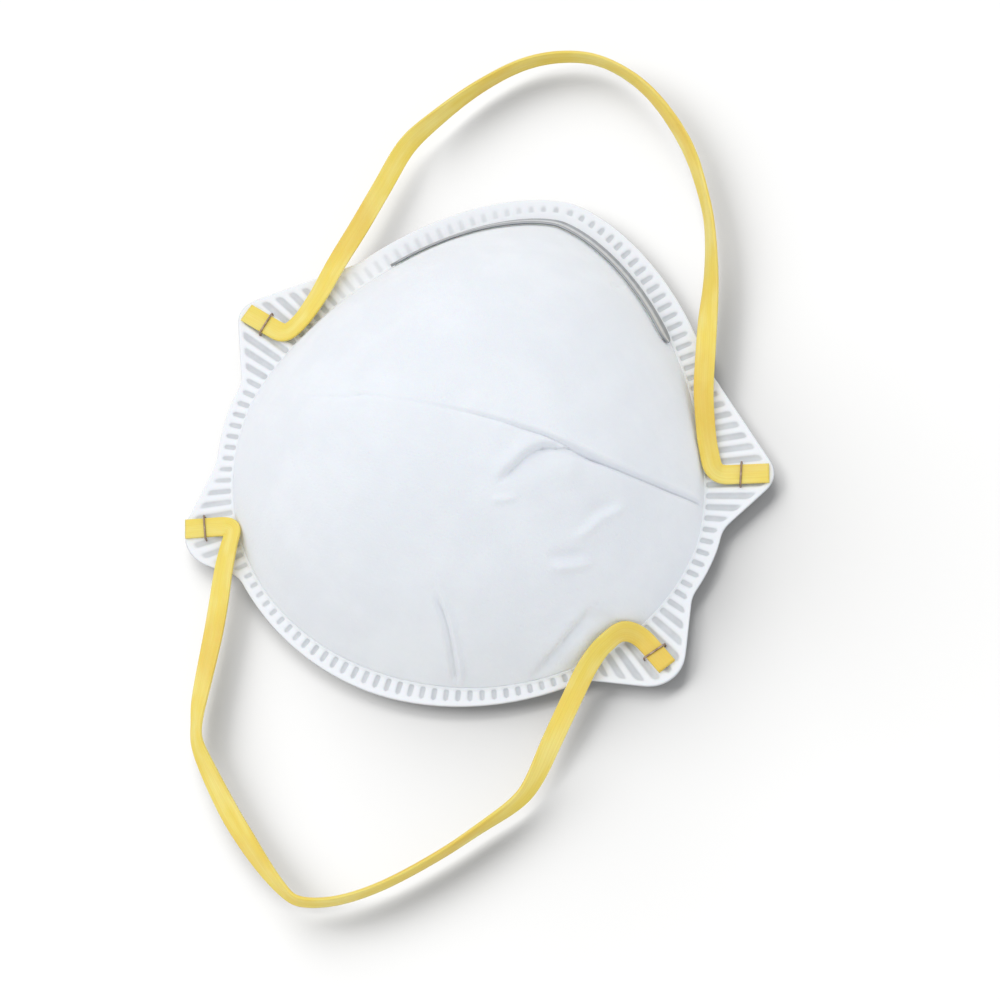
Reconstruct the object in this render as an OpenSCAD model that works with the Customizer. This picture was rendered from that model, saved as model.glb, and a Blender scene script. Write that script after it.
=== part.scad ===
// Moulded cup dust mask with two elastic bands, a nose clip and a nose foam.
// The cup lies on its rim: +X to the right, +Y to the nose, +Z out of the cup.
// The origin is under the middle of the mask's width, near the middle of its length,
// on the plane that the rim rests on.

/* [Cup] */
// Width of the cup at the weld line
cup_w = 125; // [110:1:140]
// From the widest place of the cup to the nose, at the weld line
nose_reach = 74.6; // [62:0.1:85]
// From the widest place of the cup to the chin, at the weld line
chin_reach = 57.8; // [50:0.1:68]
// Depth of the cup above the rim
cup_depth = 50; // [40:1:60]
// Place of the widest part of the cup along Y
widest_y = -8; // [-14:0.1:0]
// Roundness of the weld line towards the nose, lower is more pointed
nose_round = 1.6; // [1.5:0.01:2]
// Roundness of the weld line towards the chin
chin_round = 2.05; // [1.8:0.01:2.4]
// Sideways set of the nose, as the cup is moulded
nose_shift = -1.7; // [-3:0.1:3]
// Sideways set of the chin
chin_shift = -1.8; // [-3:0.1:3]

/* [Walls] */
// Fullness of the wall at the nose tip, as the angle of its arc
full_nose = 34; // [20:1:60]
// Fullness of the wall beside the nose
full_cheek = 54; // [45:1:72]
// Fullness of the wall at the sides
full_side = 55; // [35:1:65]
// Fullness of the wall at the chin
full_chin = 38; // [20:1:60]
// Height of the moulded ridge across the cup
ridge_h = 1.6; // [0:0.1:3]
// Angle of the ridge's ends above the widest place of the cup
ridge_angle = 9.5; // [6:0.5:20]

/* [Plies] */
// Thickness of the outer cover web
cover_t = 0.35; // [0.25:0.05:0.6]
// Thickness of the electret filter web
filter_t = 0.5; // [0.3:0.05:0.9]
// Thickness of the stiff moulded support shell
shell_t = 0.7; // [0.4:0.05:1.2]
// Thickness of the inner liner web
liner_t = 0.35; // [0.25:0.05:0.6]
// Air gap between two plies
ply_gap = 0.08; // [0.05:0.01:0.15]

/* [Welded rim] */
// Thickness of the welded rim
rim_t = 1; // [0.8:0.1:1.5]
// Width of the rim outside the cup at the sides
rim_side = 5.2; // [4:0.1:8]
// Width of the rim outside the cup at the nose
rim_nose = 6.5; // [5:0.1:9]
// Width of the rim outside the cup at the chin
rim_chin = 5.2; // [4:0.1:9]
// Roundness of the rim's edge towards the nose
edge_nose_round = 1.68; // [1.6:0.01:2]
// Roundness of the rim's edge towards the chin
edge_chin_round = 1.92; // [1.8:0.01:2.2]
// Distance between two pressed grooves of the rim
rib_pitch = 3; // [2.5:0.1:5]
// Width of a pressed groove
groove_w = 1.3; // [0.8:0.05:1.8]
// Depth of a pressed groove
groove_d = 0.35; // [0.2:0.05:0.4]
// Plain border outside the grooves
border_w = 1.3; // [0.8:0.1:2]
// Start of the grooves outside the weld line, at the sides and the chin
groove_in = 1.2; // [0.6:0.1:2]
// Start of the grooves outside the weld line, at the nose
nose_groove_in = 2.8; // [0.6:0.1:3]

/* [Tabs] */
// Reach of the upper tabs outside the rim's side
upper_tab_out = 7.4; // [5:0.1:12]
// Height of the upper tabs along Y, left and right
upper_tab_y = [16.8, 14.6]; // [8:0.1:24]
// Radius of the upper tabs' tips
upper_tab_r = 6.2; // [5:0.1:8]
// Reach of the lower tabs outside the rim's side, left and right
lower_tab_out = [-1.2, 1.9]; // [-3:0.1:6]
// Height of the lower tabs' corners along Y, left and right
lower_tab_y = [-42, -39]; // [-46:0.1:-36]
// Radius of the lower tabs' corners, left and right
lower_tab_r = [10, 9]; // [6:0.1:12]
// Radius that blends a tab into the rim
tab_blend = 7; // [4:1:14]

/* [Nose clip and foam] */
// Length of the aluminium clip along the rim
clip_len = 95; // [70:1:100]
// Width of the clip
clip_w = 5.5; // [4:0.5:6]
// Thickness of the clip
clip_t = 0.8; // [0.5:0.1:1.2]
// Distance of the clip's lower edge from the rim, up the wall
clip_lift = 1; // [0.5:0.1:3]
// Thickness of the glue under the clip
glue_t = 0.2; // [0.1:0.05:0.4]
// Length of the nose foam along the rim
foam_len = 84; // [60:1:100]
// Width of the nose foam
foam_w = 12; // [8:1:16]
// Thickness of the nose foam
foam_t = 3.5; // [2:0.5:5]

/* [Bands and staples] */
// Width of an elastic band
band_w = 5.2; // [4:0.1:6]
// Thickness of an elastic band
band_t = 0.9; // [0.6:0.1:1.2]
// Distance of an upper staple from the tab's tip
upper_staple_in = 8.2; // [5:0.1:10]
// Distance of a lower staple from the tab's side, left and right
lower_staple_in = [5.5, 7.8]; // [5:0.1:10]
// Length of a staple's crown
staple_len = 7; // [6.4:0.1:8]
// Diameter of the staple wire
wire_d = 0.5; // [0.4:0.05:0.7]

/* [Hidden] */

// Clearance between pieces that touch, and over the soft foam
touch = 0.05;
foam_gap = 0.4;
// Ground without grooves round what a staple takes up
groove_gap = 0.4;
// Each ply's outer face, as a distance inside the cup's outer face
filter_in = cover_t + ply_gap;
shell_in = filter_in + filter_t + ply_gap;
liner_in = shell_in + shell_t + ply_gap;
wall_t = liner_in + liner_t;
// Rays over and under the ridge, and rings from the weld line to the top
rays_up = 24;
rays_down = 22;
rings = 11;
// Ray angle between the crest of the ridge and its foot
ridge_step = 1.6;
ray_angles = concat(
    [for (i = [0:rays_up]) ridge_angle + (180 - 2 * ridge_angle) * i / rays_up],
    [for (i = [0:rays_down]) 180 - ridge_angle + ridge_step
        + (180 + 2 * ridge_angle - 2 * ridge_step) * i / rays_down]);
// Height of a band's middle where it lies on the rim
band_z = rim_t + touch + band_t / 2;
// What comes in pairs: the sign of X on the left and on the right, the tabs' places, and the
// angles on the rim's edge where an upper and a lower tab's sides start
sides = [-1, 1];
upper_tab_span = [48, 2];
lower_tab_span = [-8, -48];
upper_tab_x = cup_w / 2 + rim_side + upper_tab_out;
lower_tab_x = [for (out = lower_tab_out) cup_w / 2 + rim_side + out];
// The bands' ends, left and right, each written as on the right: the staple's place, the band's
// direction from its tip inwards, the sweep of its turn, its length outside the staple, the
// turn's reach from the staple, the room inside the turn, and the turn's rise and roll
upper_ends = [
    [[upper_tab_x - upper_staple_in, upper_tab_y[0] - 0.9], 194, -84, 6.5, 9.9, 0.3, 0.4, -14],
    [[upper_tab_x - upper_staple_in, upper_tab_y[1] - 1.2], 200, -72, 7.2, 10.1, 0.3, 0.6, -20]];
lower_ends = [
    [[lower_tab_x[0] - lower_staple_in[0], lower_tab_y[0] - 0.6], 158, 113, 5.2, 10.3, 0.3, 1.1, 30],
    [[lower_tab_x[1] - lower_staple_in[1], lower_tab_y[1] + 0.3], 148, 98, 5, 11, 2.2, 3.5, 48]];
// Turn of a staple's crown against the square across its band
staple_turn = -4;
// The free loops: X, Y, the height of the band's lower edge, and the band's roll about its own
// length, which is 0 where it lies flat and 90 where it stands on its edge
head_route = [
    [-57.6, 19.8, 2.3, -17], [-55.9, 27.4, 2.8, -10], [-54.5, 37.2, 3.8, 0], [-52.5, 48.1, 3.7, 12],
    [-50.7, 62.2, 2.9, 20], [-49, 74.8, 2, 35], [-44.7, 84.3, 1, 60], [-37.3, 96.5, 0.4, 78],
    [-27.9, 107.1, 0.2, 84], [-17.3, 112.9, 0.2, 86], [-5.9, 114.2, 0.2, 86], [8.3, 109.2, 0.3, 75],
    [22.8, 97.4, 0.4, 62], [32.8, 83.5, 0.3, 66], [37.7, 73.8, 0.8, 60], [42, 61.9, 1.5, 42],
    [45, 50.8, 2.9, 15], [47.6, 41.7, 4, 0], [50.3, 32.4, 3.4, -15], [52.9, 25.7, 3.1, -23],
    [55.8, 19, 2.6, -24]];
neck_route = [
    [-52.6, -44.6, 2.8, 27], [-52.2, -48, 2.5, 20], [-51.4, -52.7, 2.5, 15], [-49.4, -61.1, 2.5, 8],
    [-47.4, -70.6, 2.2, 10], [-44.6, -86.2, 1.3, 30], [-43, -92.1, 0.8, 48], [-41, -97.4, 0.7, 52],
    [-35.7, -103.2, 0.9, 38], [-26.9, -111.4, 1.3, 20], [-20.6, -116.5, 1.2, 22],
    [-12.4, -122.5, 0.6, 45], [-5.4, -126.7, 0.2, 65], [-0.3, -128.1, 0.2, 80], [8.4, -124.9, 0.1, 86],
    [18.1, -117.5, 0.1, 88], [28.5, -106.1, 0.1, 88], [35.7, -96.5, 0.1, 84], [42.4, -87, 0.2, 68],
    [44.5, -80.1, 0.5, 50], [45.2, -69.8, 1.3, 25], [45.8, -62.6, 2, 12], [46.7, -54.1, 2.9, 12],
    [47.6, -48.6, 3.6, 30], [49.2, -43.6, 4.5, 43]];
// Steps between two points of a route, and the band's section of 8 corners
band_steps = 3;
section = [for (a = [0:45:315]) [cos(a) > 0.1 ? 1 : cos(a) < -0.1 ? -1 : 0, sin(a)]];

// A closed egg-shaped line: an arc of each power on either side of the widest place
function oval(t, half_w, up, down, n_up, n_down) =
    let (n = sin(t) >= 0 ? n_up : n_down, reach = sin(t) >= 0 ? up : down)
    [half_w * sign(cos(t)) * pow(abs(cos(t)), 2 / n)
         + (sin(t) >= 0 ? nose_shift : chin_shift) * pow(sin(t), 2),
     widest_y + reach * sign(sin(t)) * pow(abs(sin(t)), 2 / n)];
function weld_at(t, inward) =
    oval(t, cup_w / 2 - inward, nose_reach - inward, chin_reach - inward, nose_round, chin_round);
function edge_at(t) = oval(t, cup_w / 2 + rim_side, nose_reach + rim_nose,
    chin_reach + rim_chin, edge_nose_round, edge_chin_round);
function out_at(t) = let (d = weld_at(t + 0.5, 0) - weld_at(t - 0.5, 0)) [d.y, -d.x] / norm(d);

// Eases from a to b as k goes from 0 to 1
function ease(a, b, k) = a + (b - a) * (1 - cos(180 * k)) / 2;
// Fullness of the wall along the ray at angle t, the same on both sides
function fullness(t) =
    let (m = abs(((t + 90) % 360) - 180), cheek = 38, side = 85)
    m < cheek ? ease(full_nose, full_cheek, m / cheek)
    : m < side ? ease(full_cheek, full_side, (m - cheek) / (side - cheek))
    : ease(full_side, full_chin, (m - side) / (180 - side));

// Lift of the ridge: a crest on its ray that eases away upwards and drops at its foot
function ridge_at(t, s) =
    let (m = abs(((t + 90) % 360) - 180), up = 90 - ridge_angle - m, fade = 42)
    up < -0.1 || up > fade ? 0
    : ridge_h * (1 + cos(180 * up / fade)) / 2 * pow(sin(min(180 * s, 90)), 2)
        * sin(min(180, 900 * (1 - s)) / 2);

// A point of the cup: s is 1 at the weld line and 0 at the top
function cup_at(t, s, inward) =
    let (p = weld_at(t, inward), r = [p.x, p.y - widest_y], f = fullness(t),
         lift = ridge_at(t, s), away = r / norm(r) * lift * sin(60 * s))
    [r.x * sin(f * s) / sin(f) + away.x,
     widest_y + r.y * sin(f * s) / sin(f) + away.y,
     rim_t + (cup_depth - inward) * (cos(f * s) - cos(f)) / (1 - cos(f)) + lift * cos(60 * s)];

// Length of wall for a whole step of s, at the weld line
function wall_rate(t) =
    let (f = fullness(t), w = f * PI / 180, p = weld_at(t, 0), r = norm([p.x, p.y - widest_y]))
    norm([r * w * cos(f) / sin(f), cup_depth * w * sin(f) / (1 - cos(f))]);

// Running length of the weld line, for even spacing
walk = [for (i = [0:360]) norm(weld_at(i, 0) - weld_at(i - 1, 0))];
run = [for (i = 0, sum = 0; i <= 360; i = i + 1, sum = sum + (i <= 360 ? walk[i] : 0)) [sum, i]];
run_total = run[360][0];
nose_run = run[90][0];
function angle_at(distance) = lookup(distance, run);

// One ply of the cup, between two distances inside its outer face
module ply(from, to) {
    n = len(ray_angles);
    face = [for (d = [from, to]) each concat(
        [for (j = [0:rings - 1], t = ray_angles) cup_at(t, 1 - j / rings, d)],
        [[0, widest_y, rim_t + cup_depth - d]])];
    size = n * rings + 1;
    function at(layer, j, i) = layer * size + (j == rings ? n * rings : j * n + i % n);
    polyhedron(face, concat(
        [for (j = [0:rings - 1], i = [0:n - 1]) [at(0, j, i), at(0, j + 1, i), at(0, j, i + 1)]],
        [for (j = [0:rings - 2], i = [0:n - 1])
            [at(0, j, i + 1), at(0, j + 1, i), at(0, j + 1, i + 1)]],
        [for (j = [0:rings - 1], i = [0:n - 1]) [at(1, j, i), at(1, j, i + 1), at(1, j + 1, i)]],
        [for (j = [0:rings - 2], i = [0:n - 1])
            [at(1, j, i + 1), at(1, j + 1, i + 1), at(1, j + 1, i)]],
        [for (i = [0:n - 1]) [at(0, 0, i), at(0, 0, i + 1), at(1, 0, i)]],
        [for (i = [0:n - 1]) [at(0, 0, i + 1), at(1, 0, i + 1), at(1, 0, i)]]));
}

// A strip that lies on the cup's wall at the nose, with round ends
module wall_strip(length, width, lift, from, to, columns, rows, end_r) {
    half = length / 2;
    stations = [for (i = [0:columns]) half * sin(90 * (2 * i / columns - 1))];
    function spread(x) = end_r == 0 || abs(x) < half - end_r ? 1
        : max(0.3, sqrt(1 - pow((abs(x) - half + end_r) / end_r, 2)));
    function s_at(x, j) = 1 - (lift + width / 2 + width * (j / rows - 0.5) * spread(x))
        / wall_rate(angle_at(nose_run - x));
    n = rows + 1;
    size = (columns + 1) * n;
    points = [for (d = [from, to], x = stations, j = [0:rows])
        cup_at(angle_at(nose_run - x), s_at(x, j), d)];
    function at(layer, i, j) = layer * size + i * n + j;
    polyhedron(points, concat(
        [for (i = [0:columns - 1], j = [0:rows - 1]) [at(0, i, j), at(0, i, j + 1), at(0, i + 1, j + 1)]],
        [for (i = [0:columns - 1], j = [0:rows - 1]) [at(0, i, j), at(0, i + 1, j + 1), at(0, i + 1, j)]],
        [for (i = [0:columns - 1], j = [0:rows - 1]) [at(1, i, j), at(1, i + 1, j + 1), at(1, i, j + 1)]],
        [for (i = [0:columns - 1], j = [0:rows - 1]) [at(1, i, j), at(1, i + 1, j), at(1, i + 1, j + 1)]],
        [for (i = [0:columns - 1]) each
            [[at(0, i, 0), at(0, i + 1, 0), at(1, i + 1, 0)], [at(0, i, 0), at(1, i + 1, 0), at(1, i, 0)],
             [at(0, i, rows), at(1, i + 1, rows), at(0, i + 1, rows)],
             [at(0, i, rows), at(1, i, rows), at(1, i + 1, rows)]]],
        [for (j = [0:rows - 1]) each
            [[at(0, 0, j), at(1, 0, j), at(1, 0, j + 1)], [at(0, 0, j), at(1, 0, j + 1), at(0, 0, j + 1)],
             [at(0, columns, j), at(1, columns, j + 1), at(1, columns, j)],
             [at(0, columns, j), at(0, columns, j + 1), at(1, columns, j + 1)]]]));
}

// Outline of the rim with its four tabs
module rim_outline() {
    offset(r = -tab_blend, $fn = 60) offset(delta = tab_blend) {
        polygon([for (t = [0:3:357]) edge_at(t)]);
        for (i = [0, 1]) {
            tab(sides[i], [upper_tab_x - upper_tab_r, upper_tab_y[i]], upper_tab_r, upper_tab_span);
            tab(sides[i], [lower_tab_x[i] - lower_tab_r[i], lower_tab_y[i]], lower_tab_r[i],
                lower_tab_span);
        }
    }
}

// The angle, seen from a tip's centre, at which a line from p touches its round
function touch_angle(p, tip, radius, hand) =
    let (d = p - tip) atan2(d.y, d.x) + hand * acos(radius / norm(d));

// One tab: a round tip with straight sides to two places just inside the rim's edge
module tab(side, tip, radius, span) {
    inset = 0.96;
    roots = [for (t = span) let (p = edge_at(side > 0 ? t : 180 - t)) inset * [side * p.x, p.y]];
    from = touch_angle(roots[0], tip, radius, -1);
    turn = (touch_angle(roots[1], tip, radius, 1) - from) % 360;
    scale([side, 1]) polygon(concat([[0, tip.y], roots[0]],
        [for (k = [0:0.1:1]) tip + radius * [cos(from + turn * k), sin(from + turn * k)]], [roots[1]]));
}

// The pressed grooves: bars that stand off the weld line at an even pitch
module grooves() {
    count = round(run_total / rib_pitch);
    bar = 24;
    difference() {
        intersection() {
            translate([0, 0, rim_t - groove_d])
                linear_extrude(groove_d + 1) offset(delta = -border_w) rim_outline();
            for (i = [0:count - 1]) {
                t = angle_at(run_total * (i + 0.5) / count);
                out = out_at(t);
                start = groove_in + (nose_groove_in - groove_in) * pow(max(0, sin(t)), 6);
                translate(concat(weld_at(t, 0), [rim_t - groove_d / 2 + 0.5]))
                    rotate(atan2(out.y, out.x)) translate([start + bar / 2, 0, 0])
                        cube([bar, groove_w, groove_d + 1], center = true);
            }
        }
        at_staples() staple_room(groove_gap, 1);
    }
}

// A staple's wire at its own place: crown over the band, legs down and clinched inwards
staple_reach = staple_len / 2 - wire_d / 2;
crown_z = rim_t + 2 * touch + band_t + wire_d / 2;
clinch_z = wire_d / 2 + touch;
clinch_len = 2.4;
module staple_wire() {
    r = wire_d / 2;
    translate([0, 0, crown_z]) rotate([90, 0, 0])
        cylinder(2 * staple_reach, r, r, center = true, $fn = 24);
    for (side = sides) {
        translate([0, side * staple_reach, clinch_z]) cylinder(crown_z - clinch_z, r, r, $fn = 24);
        translate([0, side * staple_reach, crown_z]) sphere(r, $fn = 24);
        translate([0, side * staple_reach, clinch_z]) sphere(r, $fn = 24);
        translate([0, side * (staple_reach - clinch_len / 2), clinch_z]) rotate([90, 0, 0])
            cylinder(clinch_len, r, r, center = true, $fn = 24);
    }
}

// The holes and the pressed hollow under the rim that a staple takes up, with a margin
module staple_room(margin, rise) {
    r = wire_d / 2 + touch + margin;
    for (side = sides) {
        translate([0, side * staple_reach, -1]) cylinder(rim_t + 2, r, r, $fn = 24);
        translate([0, side * (staple_reach - clinch_len / 2), (clinch_z + r + rise - 1) / 2])
            cube([2 * r, clinch_len + 2 * (touch + margin), clinch_z + r + rise + 1], center = true);
    }
}

// Puts a staple across the end of a band, on the right as written and on the left mirrored
module at_staple(end, side) {
    translate([side * end[0].x, end[0].y, 0]) rotate(side * (end[1] + staple_turn - 180)) children();
}
module at_staples() {
    for (i = [0, 1], end = [upper_ends[i], lower_ends[i]]) at_staple(end, sides[i]) children();
}

// A flat band swept along its stations, each with its place and roll
module band(stations) {
    n = len(stations);
    corners = [for (i = [0:n - 1])
        let (here = stations[i], ahead = stations[min(i + 1, n - 1)], back = stations[max(i - 1, 0)],
             run_dir = [ahead.x - back.x, ahead.y - back.y, ahead.z - back.z],
             along = run_dir / norm(run_dir),
             flat_dir = cross([0, 0, 1], along), flat = flat_dir / norm(flat_dir),
             tall = cross(along, flat), roll = here[3],
             wide = flat * cos(roll) + tall * sin(roll), thick = tall * cos(roll) - flat * sin(roll))
        each [for (c = section) [here.x, here.y, here.z]
            + wide * band_w / 2 * c.x * (abs(c.y) > 0.9 ? 1 : 0.94 + 0.06 * (1 - abs(c.y)))
            + thick * band_t / 2 * c.y]];
    m = len(section);
    polyhedron(corners, concat(
        [[for (k = [0:m - 1]) k]],
        [[for (k = [m - 1:-1:0]) (n - 1) * m + k]],
        [for (i = [0:n - 2], k = [0:m - 1]) [i * m + k, (i + 1) * m + k, (i + 1) * m + (k + 1) % m]],
        [for (i = [0:n - 2], k = [0:m - 1]) [i * m + k, (i + 1) * m + (k + 1) % m, i * m + (k + 1) % m]]));
}

// Stations of a band's end, from its tip over the staple's place to the end of the turn
function band_end(end) =
    let (place = end[0], heading = end[1], sweep = end[2], tip_out = end[3], hand = sign(sweep),
         turn_r = band_w / 2 + end[5], turn_in = end[4] - turn_r - band_w / 2,
         dir = [cos(heading), sin(heading)],
         centre = place + dir * turn_in + hand * turn_r * [-dir.y, dir.x])
    concat(
        [for (d = [-tip_out, -tip_out / 2, 0, turn_in / 2]) concat(place + dir * d, [band_z, 0])],
        [for (k = [0:0.25:1]) let (a = heading - hand * 90 + sweep * k)
            concat(centre + turn_r * [cos(a), sin(a)],
                [band_z + ease(0, end[6], k), ease(0, end[7], k)])]);
function mirrored(list) = [for (p = list) [-p.x, p.y, p.z, p[3]]];
function backwards(list) = [for (i = [len(list) - 1:-1:0]) list[i]];
// A smooth line through the points of a route
function smooth(p, steps) = concat(
    [for (i = [0:len(p) - 2], k = [0:steps - 1])
        let (a = p[max(i - 1, 0)], b = p[i], c = p[i + 1], d = p[min(i + 2, len(p) - 1)], u = k / steps)
        b + (c - a) * (u / 2) + (2 * a - 5 * b + 4 * c - d) * (u * u / 2)
            + (3 * b - 3 * c + d - a) * (u * u * u / 2)],
    [p[len(p) - 1]]);
// The whole band, raised from its lower edge to its middle
function loop_of(ends, route) =
    [for (p = concat(mirrored(band_end(ends[0])), smooth(route, band_steps), backwards(band_end(ends[1]))))
        [p.x, p.y, p.z + band_w / 2 * sin(abs(p[3])), p[3]]];

module outer_cover() { color([0.93, 0.95, 0.98]) ply(0, cover_t); }
module filter_layer() { color([0.9, 0.92, 0.95]) ply(filter_in, filter_in + filter_t); }
module support_shell() { color([0.86, 0.88, 0.92]) ply(shell_in, shell_in + shell_t); }
module inner_liner() { color([0.95, 0.95, 0.95]) ply(liner_in, wall_t); }

module welded_rim() {
    color([0.88, 0.9, 0.93]) difference() {
        linear_extrude(rim_t) difference() {
            rim_outline();
            polygon([for (t = ray_angles) weld_at(t, wall_t)]);
        }
        grooves();
        at_staples() staple_room(0, 0);
    }
}

module nose_clip() {
    color([0.62, 0.63, 0.65])
        wall_strip(clip_len, clip_w, clip_lift, -glue_t - 2 * touch, -glue_t - 2 * touch - clip_t,
            34, 1, clip_w / 2);
}

module clip_adhesive() {
    color([0.85, 0.85, 0.8])
        wall_strip(clip_len - 2, clip_w - 1, clip_lift + 0.5, -touch, -touch - glue_t, 34, 1, 0);
}

module nose_foam() {
    color([0.75, 0.76, 0.78]) wall_strip(foam_len, foam_w, clip_lift + 1,
        wall_t + foam_gap + foam_t, wall_t + foam_gap, 28, 3, 3);
}

module head_band() { color([0.93, 0.82, 0.35]) band(loop_of(upper_ends, head_route)); }
module neck_band() { color([0.93, 0.82, 0.35]) band(loop_of(lower_ends, neck_route)); }
module staple(end, side) { color([0.5, 0.42, 0.36]) at_staple(end, side) staple_wire(); }

outer_cover();
filter_layer();
support_shell();
inner_liner();
welded_rim();
nose_clip();
clip_adhesive();
nose_foam();
head_band();
neck_band();
staple(upper_ends[0], -1);  // staple_upper_left
staple(upper_ends[1], 1);  // staple_upper_right
staple(lower_ends[0], -1);  // staple_lower_left
staple(lower_ends[1], 1);  // staple_lower_right
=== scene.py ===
"""Looks of a moulded dust mask with two elastic bands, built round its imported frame.

The sizes in the classes below are in millimetres, as on the maker's drawing. Each
mesh is scaled to metres as it is made, in the frame's own axes: +X to the right,
+Y to the nose and +Z out of the cup.
"""

from __future__ import annotations

import logging
import math
from dataclasses import dataclass
from enum import Enum

import bpy
import numpy as np
from mathutils import Matrix, Vector
from mathutils.bvhtree import BVHTree

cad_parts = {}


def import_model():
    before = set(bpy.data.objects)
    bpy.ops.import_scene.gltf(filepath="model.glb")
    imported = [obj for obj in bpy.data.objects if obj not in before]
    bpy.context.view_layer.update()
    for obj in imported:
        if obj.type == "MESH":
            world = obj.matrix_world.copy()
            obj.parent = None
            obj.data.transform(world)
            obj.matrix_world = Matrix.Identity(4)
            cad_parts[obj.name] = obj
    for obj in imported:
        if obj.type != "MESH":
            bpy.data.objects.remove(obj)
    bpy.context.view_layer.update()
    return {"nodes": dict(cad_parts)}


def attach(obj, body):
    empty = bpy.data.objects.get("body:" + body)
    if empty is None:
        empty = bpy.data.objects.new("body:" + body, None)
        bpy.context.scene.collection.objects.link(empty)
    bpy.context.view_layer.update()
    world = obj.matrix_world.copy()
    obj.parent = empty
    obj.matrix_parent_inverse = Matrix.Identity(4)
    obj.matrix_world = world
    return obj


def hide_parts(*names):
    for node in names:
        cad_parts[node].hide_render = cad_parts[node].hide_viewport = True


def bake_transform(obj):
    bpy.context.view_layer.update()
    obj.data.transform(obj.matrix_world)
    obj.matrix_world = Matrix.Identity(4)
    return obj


LOG = logging.getLogger("dust_mask")
MM = 0.001
SEED = 7

Array = np.ndarray
Span = Array | float
Faces = list[tuple[int, ...]]
Socket = bpy.types.NodeSocket
Point2 = tuple[float, float]
Point3 = tuple[float, float, float]
Colour = Point3
Point4 = tuple[float, float, float, float]
Point5 = tuple[float, float, float, float, float]


class Body(Enum):
    """The three bodies that pieces could ride on; only the mask carries pieces."""

    MASK = "mask"
    HEAD = "head_strap"
    NECK = "neck_strap"


class Side(Enum):
    """Side of the mask, as the sign of X."""

    LEFT = -1
    RIGHT = 1


# ---------------------------------------------------------------- small maths


def smooth_step(low: float, high: float, value: Array) -> Array:
    """Ease from 0 to 1 between two values.

    Args:
        low: Value at which the ease starts.
        high: Value at which it ends.
        value: Values to map.

    Returns:
        An array between 0 and 1.
    """
    k = np.clip((value - low) / (high - low), 0.0, 1.0)
    return k * k * (3.0 - 2.0 * k)


def unit(vectors: Array) -> Array:
    """Vectors along the last axis, made one long."""
    size = np.linalg.norm(vectors, axis=-1, keepdims=True)
    return vectors / np.maximum(size, 1e-9)


def through(points: Array, steps: int) -> Array:
    """Draw a smooth line through points.

    Args:
        points: Rows of coordinates.
        steps: Steps between two of them.

    Returns:
        Rows of the finer line, the first and last point included.
    """
    ahead = np.vstack([points[1:], points[-1:]])
    first = np.vstack([points[:1], points[:-1]])[:-1]
    last = np.vstack([ahead[1:], points[-1:]])[:-1]
    here, after = points[:-1], ahead[:-1]
    rows = []
    for step in range(steps):
        u = step / steps
        rows.append(
            here
            + (after - first) * (u / 2)
            + (2 * first - 5 * here + 4 * after - last) * (u * u / 2)
            + (3 * here - 3 * after + last - first) * (u**3 / 2)
        )
    fine = np.stack(rows, axis=1).reshape(-1, points.shape[1])
    return np.vstack([fine, points[-1:]])


def running_length(line: Array) -> Array:
    """Length passed at each point of a line, from 0 at its first."""
    return np.concatenate([[0], np.cumsum(np.linalg.norm(np.diff(line, axis=0), axis=1))])


def soft_noise(x: Array, y: Array, wave: float, seed: int, terms: int = 9) -> Array:
    """Gentle unevenness made of a few seeded waves.

    Args:
        x: Places along X.
        y: Places along Y.
        wave: Middle wavelength, in the units of x and y.
        seed: Seed of the draws.
        terms: How many waves are summed.

    Returns:
        Values of about -1 to 1.
    """
    draw = np.random.default_rng(seed)
    total = np.zeros_like(x)
    for _ in range(terms):
        angle = draw.uniform(0, 2 * math.pi)
        rate = 2 * math.pi / (wave * draw.uniform(0.7, 1.6))
        phase = draw.uniform(0, 2 * math.pi)
        total += np.sin(rate * (x * math.cos(angle) + y * math.sin(angle)) + phase)
    return total / math.sqrt(terms)


# ---------------------------------------------------------------- mesh helpers


def make_mesh(name: str, points: Array, faces: Faces) -> bpy.types.Object:
    """Make a smooth-shaded mesh object from points in millimetres.

    Args:
        name: Name of the piece.
        points: Rows of X, Y, Z in millimetres.
        faces: Corner indices of each face.

    Returns:
        The object, linked to the scene.
    """
    mesh = bpy.data.meshes.new(name)
    mesh.from_pydata((points * MM).tolist(), [], faces)
    mesh.polygons.foreach_set("use_smooth", [True] * len(mesh.polygons))
    mesh.update()
    piece = bpy.data.objects.new(name, mesh)
    bpy.context.scene.collection.objects.link(piece)
    return piece


def lay_map(piece: bpy.types.Object, places: Array) -> None:
    """Give a mesh the map that its finish runs along.

    Args:
        piece: The mesh object.
        places: Place along and place across of each vertex, in metres.
    """
    layer = piece.data.uv_layers.new(name="along")
    index = np.zeros(len(piece.data.loops), int)
    piece.data.loops.foreach_get("vertex_index", index)
    layer.data.foreach_set("uv", places[index].astype(np.float32).ravel())


def grid_faces(rows: int, columns: int, start: int = 0, turned: bool = False) -> Faces:
    """Quads of a grid of points.

    Args:
        rows: Rows of points.
        columns: Points in a row.
        start: Index of the first point.
        turned: Whether the faces look the other way.

    Returns:
        Corner indices, four to a face.
    """
    found = []
    for row in range(rows - 1):
        for column in range(columns - 1):
            a = start + row * columns + column
            quad = (a, a + 1, a + columns + 1, a + columns)
            found.append(quad[::-1] if turned else quad)
    return found


def grid_border(rows: int, columns: int) -> list[int]:
    """Indices of a grid's border points, in order round it.

    Args:
        rows: Rows of points.
        columns: Points in a row.

    Returns:
        The indices, each once.
    """
    top = list(range(columns))
    right = [row * columns + columns - 1 for row in range(1, rows)]
    low = [(rows - 1) * columns + column for column in range(columns - 2, -1, -1)]
    left = [row * columns for row in range(rows - 2, 0, -1)]
    return top + right + low + left


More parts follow.
